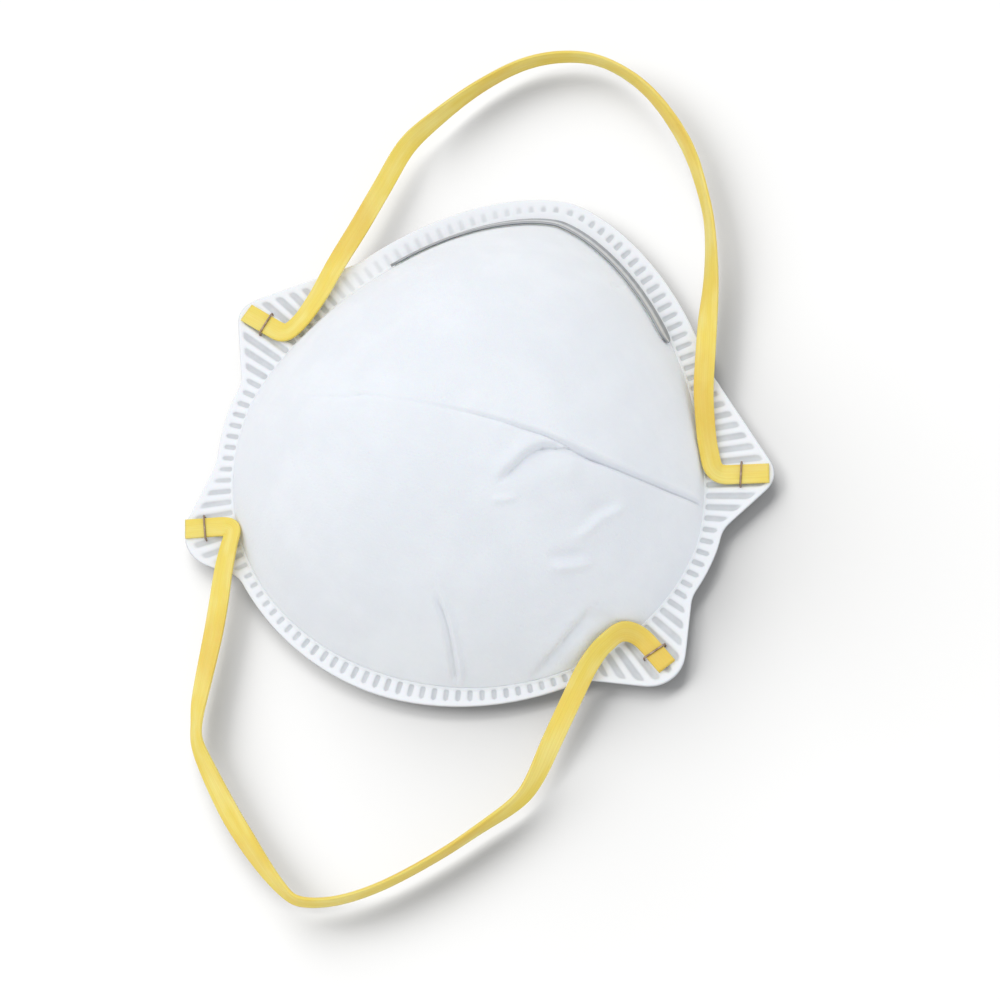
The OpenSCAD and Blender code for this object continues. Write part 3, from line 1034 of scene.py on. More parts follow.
@dataclass(frozen=True)
class CupShape:
    """The moulded cup's surface, as rays from the weld line to the top.

    Attributes:
        full: Fullness of the wall at nose, cheek, side and chin, as an arc in degrees.
        full_at: Bearings of cheek and side from the nose, in degrees.
        crest: The ridge: X, Y, height and sharpness of its drop at each place.
        crest_fade: Distances over which it fades above and below its line.
        drop: Share of the sharpness that is a step, and the step's length.
        lip: Strength, place and width of the bead along the step's top.
        foot: Strength, place and width of the groove along its foot.
        creases: Folds and creases beside it.
        crease_ends: Shares of a crease's length over which it rises and falls.
        lean_width: Width of a crease's step, in widths of the crease.
        sags: Height and wavelength of each layer of unevenness.
        calm: Shares of a ray at the weld line over which unevenness and all relief fade in.
    """

    half_w: float = 62.5
    nose_reach: float = 74.6
    chin_reach: float = 57.8
    depth: float = 50.0
    widest_y: float = -8.0
    nose_round: float = 1.6
    chin_round: float = 2.05
    nose_shift: float = -1.7
    chin_shift: float = -1.8
    full: Point4 = (34.0, 54.0, 55.0, 38.0)
    full_at: Point2 = (38.0, 85.0)
    rim_t: float = 1.0
    wall_t: float = 2.14
    crest_fade: Point2 = (20.0, 11.0)
    drop: Point2 = (0.75, 0.6)
    lip: Point3 = (0.5, 0.6, 0.65)
    foot: Point3 = (-1.7, -0.75, 0.55)
    crease_ends: Point2 = (0.3, 0.35)
    lean_width: float = 2.2
    sags: tuple[Point2, ...] = ((0.2, 34.0), (0.055, 9.0))
    calm: Point2 = (0.16, 0.05)
    crest: tuple[Point4, ...] = (
        (64.6, 3.6, 0.5, 0.4),
        (59.6, 2.3, 0.65, 0.45),
        (56.7, 0.9, 0.8, 0.5),
        (53.3, -0.8, 0.9, 0.55),
        (49.5, -2.3, 1.0, 0.5),
        (45.7, -3.6, 1.15, 0.5),
        (43.1, -4.3, 1.25, 0.55),
        (40.4, -5.0, 1.35, 0.65),
        (37.4, -5.5, 1.4, 0.75),
        (33.9, -5.8, 1.4, 0.8),
        (30.0, -6.0, 1.35, 0.7),
        (25.0, -6.2, 1.2, 0.55),
        (19.4, -6.8, 1.05, 0.45),
        (12.0, -7.4, 0.85, 0.35),
        (7.0, -8.0, 0.75, 0.25),
        (0.5, -8.8, 0.6, 0.15),
        (-11.0, -9.6, 0.4, 0.06),
        (-22.0, -10.0, 0.3, 0.15),
        (-27.0, -11.2, 0.25, 0.1),
        (-42.0, -10.5, 0.1, 0.0),
        (-60.0, -6.0, 0.0, 0.0),
    )
    creases: tuple[Crease, ...] = (
        Crease(
            ((40.4, -5.2), (36.8, -6.6), (34, -7.2), (31.3, -7.7), (28.3, -8.4), (26.3, -9.6)),
            -0.7, 1.1, -0.4, 0.2, 0.9
        ),
        Crease(
            ((28.6, -8.2), (26.3, -9.5), (24.5, -11.4), (22.9, -14), (21.4, -17.2), (19.6, -20.5), (18, -23)),
            -1.25, 1.35, -0.8, 0.6
        ),
        Crease(((24.6, -7.8), (22.2, -11), (20.3, -14.5), (18.3, -18), (16.2, -21.2)), 0.55, 3.0),
        Crease(((37, -9.5), (31, -13.5), (27, -18), (25, -23)), 0.5, 4.6),
        Crease(((17.7, -26.4), (21.4, -24.6), (24.8, -22.5)), 0.5, 1.3),
        Crease(((46.9, -10.3), (45.3, -14.2), (42.6, -18), (40.2, -22.9), (37, -27)), 0.8, 1.4, -0.5),
        Crease(((45.2, -12.2), (42.6, -15.6), (39.8, -20)), -0.5, 2.4),
        Crease(((33.3, -32.3), (38.5, -29.3), (43, -25.8)), -0.75, 1.6),
        Crease(((33.8, -34.4), (39, -31.3), (44.4, -27.3)), 0.65, 1.4),
        Crease(
            ((46, -36), (44.9, -39), (42.3, -43.7), (40.2, -47.5), (37.9, -51.1), (35.4, -55.4)),
            -1.7, 1.4, -0.4, 0.1, 0.9
        ),
        Crease(((47.5, -41), (44.6, -46.5), (41.6, -52)), 0.5, 2.4),
        Crease(((43.6, -40.2), (47.6, -37.6), (52.2, -34.6)), -0.55, 2.0),
        Crease(
            ((8.8, -47.6), (10.4, -50), (12.6, -52.6), (14.6, -56.4), (16.4, -61.6)),
            -0.95, 1.2, -0.5, 0.1, 1.0
        ),
        Crease(
            ((9.9, -46.2), (11.2, -48.4), (14.1, -52), (16.6, -56.8), (17.8, -59.8), (18.6, -63)),
            0.85, 1.2, 0.3, 0.2, 1.0
        ),
        Crease(((-27.5, -12), (-24.4, -10.8), (-20, -10)), -0.25, 1.2),
        Crease(((19.4, 48.6), (20.9, 49.4), (22.6, 51.2)), -0.3, 0.9),
    )

    def oval(self, t: Array, half_w: float, up: float, down: float, n_up: float, n_down: float) -> Array:
        """Points of the closed egg-shaped line.

        Args:
            t: Angles, in radians.
            half_w: Half width.
            up: Reach towards the nose.
            down: Reach towards the chin.
            n_up: Roundness towards the nose, 2 for an ellipse.
            n_down: Roundness towards the chin.

        Returns:
            Rows of X and Y.
        """
        c, s = np.cos(t), np.sin(t)
        power = np.where(s >= 0, 2 / n_up, 2 / n_down)
        reach = np.where(s >= 0, up, down)
        shift = np.where(s >= 0, self.nose_shift, self.chin_shift)
        x = half_w * np.sign(c) * np.abs(c) ** power + shift * s**2
        y = self.widest_y + reach * np.sign(s) * np.abs(s) ** power
        return np.stack([x, y], axis=-1)

    def weld(self, t: Array, inward: float = 0.0) -> Array:
        """Points of the weld line, or of a line inside it.

        Args:
            t: Angles, in radians.
            inward: How far the line lies inside the weld line.

        Returns:
            Rows of X and Y.
        """
        return self.oval(
            t,
            self.half_w - inward,
            self.nose_reach - inward,
            self.chin_reach - inward,
            self.nose_round,
            self.chin_round,
        )

    def fullness(self, t: Array) -> Array:
        """Angle of the wall's arc along each ray, in radians.

        Args:
            t: Angles of the rays, in radians.

        Returns:
            The arcs, larger where the wall stands steeper.
        """
        m = np.abs(((np.degrees(t) + 90) % 360) - 180)
        nose, cheek, side, chin = self.full
        cheek_at, side_at = self.full_at

        def ease(a: float, b: float, k: Array) -> Array:
            """Ease from a to b as k goes from 0 to 1."""
            return a + (b - a) * (1 - np.cos(np.pi * k)) / 2

        found = np.where(
            m < cheek_at,
            ease(nose, cheek, m / cheek_at),
            np.where(
                m < side_at,
                ease(cheek, side, (m - cheek_at) / (side_at - cheek_at)),
                ease(side, chin, (m - side_at) / (180 - side_at)),
            ),
        )
        return np.radians(found)

    def plain(self, t: Array, s: Array, inward: float = 0.0) -> Array:
        """Points of the smooth cup, s being 1 at the weld line and 0 at the top.

        Args:
            t: Angles, in radians.
            s: Places along the rays.
            inward: Depth inside the cup's outer face.

        Returns:
            Points in millimetres.
        """
        line = self.weld(t, inward)
        f = self.fullness(t)
        k = np.sin(f * s) / np.sin(f)
        x = line[..., 0] * k
        y = self.widest_y + (line[..., 1] - self.widest_y) * k
        rise = (np.cos(f * s) - np.cos(f)) / (1 - np.cos(f))
        return np.stack([x, y, self.rim_t + (self.depth - inward) * rise], axis=-1)

    def normal(self, t: Array, s: Array) -> Array:
        """Outward unit normals of the smooth cup.

        Args:
            t: Angles, in radians.
            s: Places along the rays.

        Returns:
            Unit vectors.
        """
        step = 0.004
        reach = np.maximum(s, 0.02)
        a = self.plain(t + step, reach) - self.plain(t - step, reach)
        b = self.plain(t, reach + step) - self.plain(t, reach - step)
        found = unit(np.cross(b, a))
        found = np.where(found[..., 2:] < 0, -found, found)
        top = smooth_step(0.0, 0.05, s)[..., None]
        return unit(found * top + np.array([0.0, 0.0, 1.0]) * (1 - top))

    @staticmethod
    def beside(x: Array, y: Array, line: Array) -> tuple[Array, Array, Array]:
        """Find where places lie beside a line in the plan.

        Args:
            x: Places along X.
            y: Places along Y.
            line: Rows of X and Y, close together.

        Returns:
            The signed distance, positive on the line's right-hand side, the share
            of the line's length passed, and the nearest segment's index.
        """
        start, run = line[:-1, :2], np.diff(line[:, :2], axis=0)
        length = np.linalg.norm(run, axis=1)
        passed = running_length(line[:, :2])
        best = np.full(x.shape, 1e9)
        signed, share, nearest = np.zeros_like(x), np.zeros_like(x), np.zeros(x.shape, int)
        for i, (a, r) in enumerate(zip(start, run)):
            dx, dy = x - a[0], y - a[1]
            k = np.clip((dx * r[0] + dy * r[1]) / length[i] ** 2, 0, 1)
            away = np.hypot(dx - k * r[0], dy - k * r[1])
            closer = away < best
            side = np.sign(dy * r[0] - dx * r[1])
            best = np.where(closer, away, best)
            signed = np.where(closer, -side * away, signed)
            share = np.where(closer, (passed[i] + k * length[i]) / passed[-1], share)
            nearest = np.where(closer, i, nearest)
        return signed, share, nearest

    def crest_height(self, x: Array, y: Array) -> Array:
        """Height of the ridge across the cup: a slow rise, a lip and a sharp drop.

        Args:
            x: Places along X.
            y: Places along Y.

        Returns:
            Heights in millimetres.
        """
        line = through(np.array(self.crest), 6)
        d, _, nearest = self.beside(x, y, line)
        share, length = self.drop
        high, sharp = line[nearest, 2], share * np.maximum(line[nearest, 3], 0.0)
        shares = (d / self.crest_fade[0], -d / self.crest_fade[1])
        rise, fall = (0.5 * (1 + np.cos(np.pi * np.clip(k, 0, 1))) for k in shares)
        step = sharp * (1 - smooth_step(0.0, length, -d))
        total = np.where(d > 0, high * rise, (high - sharp) * fall + step)
        for strength, place, width in (self.lip, self.foot):
            total += strength * sharp * np.exp(-(((d - place) / width) ** 2))
        return total

    def relief(self, t: Array, s: Array) -> Array:
        """Height of ridge, folds, creases and unevenness at each place of the cup.

        Args:
            t: Angles, in radians.
            s: Places along the rays.

        Returns:
            Heights in millimetres, none at the weld line.
        """
        place = self.plain(t, s)
        x, y = place[..., 0], place[..., 1]
        total = self.crest_height(x, y)
        for crease in self.creases:
            line = through(np.array(crease.points, float), 5)
            d, share, _ = self.beside(x, y, line)
            rise = crease.start + (1 - crease.start) * smooth_step(0.0, self.crease_ends[0], share)
            fall = crease.end + (1 - crease.end) * smooth_step(0.0, self.crease_ends[1], 1 - share)
            away = d / crease.width
            profile = np.exp(-(away**2) * 2)
            step = crease.lean * np.exp(-((away / self.lean_width) ** 2)) * np.tanh(away)
            total += crease.height * rise * fall * (profile + step)
        inside = smooth_step(0.0, self.calm[0], 1 - s)
        for k, (height, wave) in enumerate(self.sags):
            total += height * inside * soft_noise(x, y, wave, SEED + k)
        return total * smooth_step(0.0, self.calm[1], 1 - s)


def dense_line(count: int, low: float, high: float, more: float) -> Array:
    """Places from -1 to 1 that stand closer together in one stretch.

    Args:
        count: How many places.
        low: Start of the stretch.
        high: End of the stretch.
        more: How many times closer they stand in it.

    Returns:
        The places, both ends included.
    """
    fine = np.linspace(-1, 1, 4001)
    before, past = 0.08, 0.02
    into = smooth_step(low - before, low + past, fine)
    out_of = smooth_step(high - past, high + before, fine)
    weight = 1 + (more - 1) * into * (1 - out_of)
    run = np.concatenate([[0], np.cumsum((weight[1:] + weight[:-1]) / 2)])
    return np.interp(np.linspace(0, run[-1], count), run, fine)


def disk_grid(across: Array, along: Array) -> tuple[Array, Array]:
    """Angles and rings of a square grid laid over the round cup without a pole.

    Args:
        across: Places of the grid's columns, from -1 to 1.
        along: Places of its rows.

    Returns:
        Angle in radians and ring from 0 to 1 of each point.
    """
    a, b = np.meshgrid(across, along)
    flat = np.abs(a) >= np.abs(b)
    ring = np.where(flat, np.abs(a), np.abs(b))
    safe_a = np.where(np.abs(a) < 1e-9, 1e-9, a)
    safe_b = np.where(np.abs(b) < 1e-9, 1e-9, b)
    angle = np.where(
        flat,
        np.pi / 4 * b / safe_a + np.where(a < 0, np.pi, 0),
        np.pi / 2 - np.pi / 4 * a / safe_b + np.where(b < 0, np.pi, 0),
    )
    return angle, ring


# ---------------------------------------------------------------- cup and rim


@dataclass
class CupPlies:
    """The four webs of the cup, one inside the other.

    Attributes:
        cover_grid: Points along each side of the cover's grid; the rest likewise.
        cover_t: Thickness of the cover, and so on.
        filter_in: Depth of the filter's outer face inside the cup's outer face, and so on.
        slack: How much thinner each sealed web is made on both faces, to keep it off the next.
        dense: Columns' stretch, rows' stretch and how many times closer the grid is there.
    """

    shape: CupShape
    cover_grid: int = 370
    liner_grid: int = 190
    hidden_grid: int = 120
    cover_t: float = 0.35
    filter_in: float = 0.43
    filter_t: float = 0.5
    shell_in: float = 1.01
    shell_t: float = 0.7
    liner_in: float = 1.79
    slack: float = 0.06
    dense: tuple[Point2, Point2, float] = ((0.05, 1.0), (-0.9, 0.3), 2.2)

    def web(self, name: str, node: str, grid: int, outer: float, inner: float, finish: Finish) -> None:
        """Form one web over the cup.

        Args:
            name: Name of the piece.
            node: CAD node that it stands for.
            grid: Points along each side of its grid.
            outer: Depth of its outer face inside the cup's outer face.
            inner: Depth of its inner face.
            finish: Its finish.
        """
        across, along, more = self.dense
        t, s = disk_grid(dense_line(grid, *across, more), dense_line(grid, *along, more))
        raised = self.shape.normal(t, s) * self.shape.relief(t, s)[..., None]
        front, back = (self.shape.plain(t, s, depth) + raised for depth in (outer, inner))
        dress(make_mesh(name, *slab(front, back)), node, finish)

    def build(self) -> None:
        """Form the four webs, from the outside in."""
        fine, hidden, slack = self.cover_grid, self.hidden_grid, self.slack
        filter_out, shell_out = self.filter_in + self.filter_t, self.shell_in + self.shell_t
        self.web("cover", "outer_cover", fine, 0.0, self.cover_t, COVER_WEB)
        self.web("filter", "filter_layer", hidden, self.filter_in + slack, filter_out - slack, FILTER_WEB)
        self.web("shell", "support_shell", hidden, self.shell_in + slack, shell_out - slack, SHELL_WEB)
        self.web("liner", "inner_liner", self.liner_grid, self.liner_in, self.shape.wall_t, LINER_WEB)


@dataclass
class WeldedRim:
    """The flat flange where all plies are welded, with ribs pressed across it.

    Attributes:
        pitch: Distance between two grooves along the weld line.
        rows: Rows of points from the weld line to the cut edge.
        crowding: How much they crowd towards the cut edge, 1 for an even spacing.
        first_rows: Distances of the rows under the cup's foot and nearest to it.
        depth: Depth of a groove.
        half_groove: Half the groove's width, as a share of the pitch.
        mouth: Width of a groove at its start, in shares of that width.
        flank: Where a groove's flank begins and ends, in shares of half its width.
        border: Plain border outside the grooves.
        start: Where the grooves start outside the weld line; nose_start at the nose.
        taper: How much a groove narrows outwards, as a share of its width.
        full_at: Reach of the flange, on the tabs, over which they stop narrowing.
        ends: Slope and start, least and most length of a groove's soft outer end.
        crown: How far a rib's middle stands below its flanks.
        crown_at: Places in the pitch between which that grows, from a rib's middle.
        fillet: Height and width of the soft foot along the cup.
        edge: Width and radius of the rounding along the cut edge; under on the lower face.
        faint: Bearings at which the pressing fades in and out again, and the share lost there.
        shallow: The same for the narrow stretch beside the lower left tab.
    """

    shape: CupShape
    pitch: float = 3.0
    columns_per_rib: int = 8
    rows: int = 20
    crowding: float = 1.35
    first_rows: tuple[float, ...] = (-0.9, -0.26, -0.24, 0.0, 0.3, 0.6, 0.95)
    depth: float = 0.42
    half_groove: float = 0.19
    mouth: float = 1.15
    flank: Point2 = (0.4, 1.5)
    border: float = 1.0
    start: float = -0.1
    taper: float = 0.6
    nose_start: float = 2.8
    full_at: Point2 = (6.5, 9.0)
    ends: Point4 = (0.45, 2.6, 0.7, 1.9)
    crown: float = 0.09
    crown_at: Point2 = (0.05, 0.24)
    fillet: Point2 = (0.45, 0.95)
    edge: Point2 = (0.45, 0.42)
    under: Point2 = (0.4, 0.38)
    faint: Point5 = (80.0, 102.0, 142.0, 151.0, 0.78)
    shallow: Point5 = (-174.0, -162.0, -128.0, -108.0, 0.42)

    def spacing(self) -> tuple[Array, Array, int]:
        """Angles at an even running length round the weld line.

        Returns:
            Angle of each column, its place in the pitch from 0 to 1, and the columns' count.
        """
        fine = np.linspace(0, 2 * np.pi, 7201)
        line = self.shape.weld(fine)
        run = running_length(line)
        ribs = round(run[-1] / self.pitch)
        count = ribs * self.columns_per_rib
        at = run[-1] * np.arange(count) / count
        phase = (np.arange(count) / self.columns_per_rib) % 1.0
        return np.interp(at, run, fine), phase, count

    def reaches(self, foot: Array, out: Array, node: bpy.types.Object) -> Array:
        """Distance from the weld line to the flange's cut edge along each column.

        Args:
            foot: Column starts on the weld line.
            out: Unit directions of the columns.
            node: The CAD rim, whose outline is followed.

        Returns:
            The distances, in millimetres.
        """
        mesh = node.data
        corners, sides = [v.co[:] for v in mesh.vertices], [p.vertices[:] for p in mesh.polygons]
        tree = BVHTree.FromPolygons(corners, sides)
        far, level, found = 26.0, 0.4, []
        for place, way in zip(foot, out):
            outside = Vector((*(place + way * far), level)) * MM
            hit = tree.ray_cast(outside, Vector((-way[0], -way[1], 0.0)))
            found.append(far - hit[3] / MM)
        reach = np.array(found)
        width = 2
        padded = np.concatenate([reach[-width:], reach, reach[:width]])
        return np.mean([padded[k : k + len(reach)] for k in range(2 * width + 1)], axis=0)

    @staticmethod
    def kept(bearing: Array, row: Point5) -> Array:
        """Share of the pressing that is kept at each bearing, for one faint stretch."""
        begin, full, fading, end, lost = row
        return 1 - lost * smooth_step(begin, full, bearing) * (1 - smooth_step(fading, end, bearing))

    @staticmethod
    def rounding(away: Array, row: Point2) -> Array:
        """Drop of a rounded edge at a distance from it, for its width and radius."""
        width, radius = row
        return radius * (1 - np.sqrt(1 - (1 - np.clip(away / width, 0, 1)) ** 2))

    def top(self, w: Array, phase: Array, reach: Array, begin: Array, strong: Array) -> Array:
        """Height of the flange's upper face.

        Args:
            w: Distance outside the weld line.
            phase: Place in the ribs' pitch, 0.5 in the middle of a groove.
            reach: Distance of the cut edge.
            begin: Distance at which the grooves start.
            strong: Strength of the grooves, from 0 to 1.

        Returns:
            Heights in millimetres.
        """
        room = reach - self.border
        passed = np.clip((w - begin) / np.maximum(room - begin, 0.5), 0, 1)
        narrowed = self.taper * passed * (1 - smooth_step(*self.full_at, reach))
        half = self.half_groove * (self.mouth - narrowed)
        across = 1 - smooth_step(half * self.flank[0], half * self.flank[1], np.abs(phase - 0.5))
        slope, start, least, most = self.ends
        fade = np.clip(slope * (reach - start), least, most)
        along = smooth_step(0.0, 0.5, w - begin) * smooth_step(0.0, 1.0, (room - w) / fade)
        pressed = self.depth * strong * across * along
        rib = np.minimum(phase, 1 - phase)
        crown = self.crown * along * smooth_step(*self.crown_at, rib)
        high, wide = self.fillet
        foot = high * np.clip(1 - w / wide, 0, 1) ** 2 * (w > -0.25)
        return self.shape.rim_t - pressed - crown - self.rounding(reach - w, self.edge) + foot

    def build(self, node: bpy.types.Object) -> bpy.types.Object:
        """Press the flange.

        Args:
            node: The CAD rim.

        Returns:
            The piece, riding on the mask.
        """
        t, phase, count = self.spacing()
        step = 0.004
        foot = self.shape.weld(t)
        run = self.shape.weld(t + step) - self.shape.weld(t - step)
        out = unit(np.stack([run[:, 1], -run[:, 0]], axis=1))
        reach = self.reaches(foot, out, node)
        begin = self.start + (self.nose_start - self.start) * np.maximum(0.0, np.sin(t)) ** 6
        bearing = np.degrees(np.arctan2(foot[:, 1] - self.shape.widest_y, foot[:, 0]))
        strong = self.kept(bearing, self.faint) * self.kept(bearing, self.shallow)
        inner = np.array([-self.shape.wall_t, *self.first_rows])
        outer = np.linspace(0, 1, self.rows)
        eased = 1 - (1 - outer) ** self.crowding
        rows = [np.full(count, w) for w in inner]
        rows += [inner[-1] + (reach - inner[-1]) * k for k in eased[1:]]
        inside = self.shape.weld(t, self.shape.wall_t)
        top_points, low_points = [], []
        for w in rows:
            share = np.clip(-w / self.shape.wall_t, 0, 1)[:, None]
            flat = np.where(w[:, None] < 0, foot + (inside - foot) * share, foot + out * w[:, None])
            top_points.append(np.column_stack([flat, self.top(w, phase, reach, begin, strong)]))
            low_points.append(np.column_stack([flat, self.rounding(reach - w, self.under)]))
        rings = top_points + low_points[-1:0:-3] + low_points[:1]
        points = np.vstack(rings)
        faces = []
        for i in range(len(rings)):
            here, after = i * count, ((i + 1) % len(rings)) * count
            for k in range(count):
                j = (k + 1) % count
                faces.append((here + k, after + k, after + j, here + j))
        return dress(make_mesh("rim", points, faces), "welded_rim", WeldedFinish())


# ---------------------------------------------------------------- nose clip and foam


@dataclass
class NoseStrip:
    """A strip along the cup's wall at the nose, measured on the wall itself.

    Attributes:
        length: Full length.
        width: Full width.
        lift: Distance of its lower edge from the weld line.
        blunt: Least width at its rounded ends, as a share of the full width.
    """

    shape: CupShape
    length: float
    width: float
    lift: float
    blunt: float = 0.22

    def rate(self, t: Array) -> Array:
        """Length of wall for a whole step of s at the weld line.

        Args:
            t: Angles, in radians.

        Returns:
            Lengths in millimetres.
        """
        f = self.shape.fullness(t)
        line = self.shape.weld(t)
        r = np.hypot(line[:, 0], line[:, 1] - self.shape.widest_y)
        return np.hypot(r * f * np.cos(f) / np.sin(f), self.shape.depth * f * np.sin(f) / (1 - np.cos(f)))

    def angles(self, along: Array) -> Array:
        """Ray angles at running distances from the nose tip, positive to the right.

        Args:
            along: The distances, in millimetres.

        Returns:
            Angles in radians.
        """
        fine = np.linspace(0, np.pi, 3601)
        line = self.shape.weld(fine)
        run = running_length(line)
        nose = np.interp(np.pi / 2, fine, run)
        return np.interp(nose - along, run, fine)

    def grid(self, columns: int, rows: int, end_r: float, inward: Span, bow: Span = 0.0) -> Array:
        """Points of one face of the strip.

        Args:
            columns: Points along it.
            rows: Points across it.
            end_r: Radius of its rounded ends, 0 for square ones.
            inward: Depth of the face inside the cup's outer face, for each row.
            bow: Sideways bow of the strip up the wall, for each column.

        Returns:
            Rows by columns by 3, in millimetres.
        """
        half = self.length / 2
        along = half * np.sin(np.pi / 2 * np.linspace(-1, 1, columns))
        over = np.maximum(np.abs(along) - half + end_r, 0) / max(end_r, 1e-6)
        rounded = np.maximum(self.blunt, np.sqrt(1 - np.clip(over, 0, 1) ** 2))
        spread = rounded if end_r else np.ones(columns)
        t = self.angles(along)
        rate = self.rate(t)
        depth = np.broadcast_to(inward, (rows,))
        found = []
        for j, d in zip(np.linspace(-0.5, 0.5, rows), depth):
            s = 1 - (self.lift + self.width / 2 + self.width * j * spread + bow) / rate
            found.append(self.shape.plain(t, s, 0.0) - self.shape.normal(t, s) * d)
        return np.stack(found)


@dataclass
class NoseClip:
    """The soft aluminium clip, glued along the top edge of the cup.

    Attributes:
        lift: Distance of its lower edge from the weld line.
        gap: Clearance between the cup and the glue.
        rounding: Where its rounded edges begin, as a share of its half width, and their share.
        drop: How far the edges round off on the outer and the inner face.
        end: Radius of its ends, as a share of its width.
        glue_in: How far the glue stays inside the clip at its ends and its edges.
        ripples: Height and run of each ripple of the glue line.
    """

    shape: CupShape
    length: float = 95.0
    width: float = 5.5
    lift: float = 1.0
    thick: float = 0.8
    glue_t: float = 0.2
    gap: float = 0.1
    rounding: Point2 = (0.86, 0.14)
    drop: Point2 = (0.36, 0.3)
    end: float = 0.8
    glue_in: Point2 = (1.0, 0.5)
    glue_end: float = 1.6
    ripples: tuple[Point2, ...] = ((0.12, 40.0), (0.08, 93.0))
    columns: int = 150
    rows: int = 11
    glue_rows: int = 7

    def build(self) -> None:
        """Lay the glue line and the clip on it."""
        strip = NoseStrip(self.shape, self.length, self.width, self.lift)
        across = np.linspace(-1, 1, self.rows)
        begin, share = self.rounding
        nearly_square = 0.0197  # just over the share's square, so that no edge stands quite upright
        edge = 1 - np.sqrt(1 - np.clip(np.abs(across) - begin, 0, share) ** 2 / nearly_square)
        outer = -(self.glue_t + self.gap + self.thick) + self.drop[0] * np.clip(edge, 0, 1)
        inner = -(self.glue_t + self.gap) - self.drop[1] * np.clip(edge, 0, 1)
        front = strip.grid(self.columns, self.rows, self.width * self.end, outer)
        back = strip.grid(self.columns, self.rows, self.width * self.end, inner)
        clip = make_mesh("clip", *slab(front[::-1], back[::-1]))
        row, column = np.divmod(np.arange(self.columns * self.rows), self.columns)
        face = np.column_stack([column * (self.length / self.columns), row * (self.width / self.rows)]) * MM
        lay_map(clip, np.vstack([face, face]))
        dress(clip, "nose_clip", AluminiumFinish())
        ends, sides = self.glue_in
        bead = NoseStrip(self.shape, self.length - 2 * ends, self.width - 2 * sides, self.lift + sides)
        wave = sum(high * np.sin(np.linspace(0, far, self.columns)) for high, far in self.ripples)
        depths = (-(self.glue_t + self.gap / 2), -self.gap / 2)
        front, back = (bead.grid(self.columns, self.glue_rows, self.glue_end, at, wave) for at in depths)
        dress(make_mesh("glue", *slab(front[::-1], back[::-1])), "clip_adhesive", GlueFinish())


@dataclass
class NoseFoam:
    """The die-cut foam strip inside the cup, behind the clip.

    Attributes:
        lift: Distance of its lower edge from the weld line.
        gap: Clearance between the liner and the foam.
        fill: How tightly it is filled, from 0 to 1; not used.
        grain: Unevenness of its open face.
        flat: Share of its half width that is flat.
        crown: How far its edges round off on the open and the glued face.
        middle_z: Height of the place inside the cup that its open face looks at.
    """

    shape: CupShape
    length: float = 84.0
    width: float = 12.0
    lift: float = 2.0
    thick: float = 3.5
    gap: float = 0.4
    fill: float = 0.6
    grain: float = 0.045
    flat: float = 0.72
    crown: Point2 = (1.6, 0.5)
    end_r: float = 3.0
    middle_z: float = 12.0
    columns: int = 130
    rows: int = 25

    def build(self) -> None:
        """Cut the strip, its free edges rounded by its own stretch."""
        strip = NoseStrip(self.shape, self.length, self.width, self.lift)
        across = np.linspace(-1, 1, self.rows)
        soft = np.clip((np.abs(across) - self.flat) / (1 - self.flat), 0, 1)
        shrink = 1 - np.sqrt(1 - soft**2)
        base = self.shape.wall_t + self.gap
        depths = (base + self.thick - self.crown[0] * shrink, base + 0.05 + self.crown[1] * shrink)
        front, back = (strip.grid(self.columns, self.rows, self.end_r, depth) for depth in depths)
        jitter = np.random.default_rng(SEED).normal(0, self.grain, front.shape[:2])
        front = front - self.inward(front) * jitter[..., None]
        foam = dress(make_mesh("foam", *slab(front, back)), "nose_foam", FoamFinish())

    def inward(self, points: Array) -> Array:
        """Directions from the foam's face towards the middle of the cup."""
        return unit(np.array([0.0, self.shape.widest_y, self.middle_z]) - points)


# ---------------------------------------------------------------- bands and staples


@dataclass(frozen=True)
class BandEnd:
    """Where a band is stapled to its tab, written as on the right side.

    Attributes:
        place: Place of the staple.
        heading: Direction of the band from its tip inwards, in degrees.
        sweep: Sweep of its turn into the free loop, in degrees.
        tip_out: Length outside the staple.
        reach: Reach of the turn from the staple.
        room: Room inside the turn.
        rise: How far the band's lower edge rises over the turn.
        roll: Roll of the band at the end of the turn, in degrees.
        low: Height of the band's middle where it lies on the rim.
    """

    place: Point2
    heading: float
    sweep: float
    tip_out: float
    reach: float
    room: float
    rise: float
    roll: float
    low: float = 1.5

    def stations(self, width: float) -> Array:
        """Find the stations of the end, from the tip to the end of the turn.

        Args:
            width: Width of the band.

        Returns:
            Rows of X, Y, height of the lower edge and roll.
        """
        angle = math.radians(self.heading)
        way = np.array([math.cos(angle), math.sin(angle)])
        place = np.array(self.place)
        hand = 1 if self.sweep > 0 else -1
        radius = width / 2 + self.room
        turn_in = self.reach - radius - width / 2
        centre = place + way * turn_in + hand * radius * np.array([-way[1], way[0]])
        steps = (-self.tip_out, -self.tip_out / 2, 0.0, turn_in / 2)
        rows = [(*(place + way * d), self.low, 0.0) for d in steps]
        for k in (0.0, 0.25, 0.5, 0.75, 1.0):
            a = math.radians(self.heading - hand * 90 + self.sweep * k)
            ease = (1 - math.cos(math.pi * k)) / 2
            spot = centre + radius * np.array([math.cos(a), math.sin(a)])
            rows.append((*spot, self.low + self.rise * ease, self.roll * ease))
        return np.array(rows)


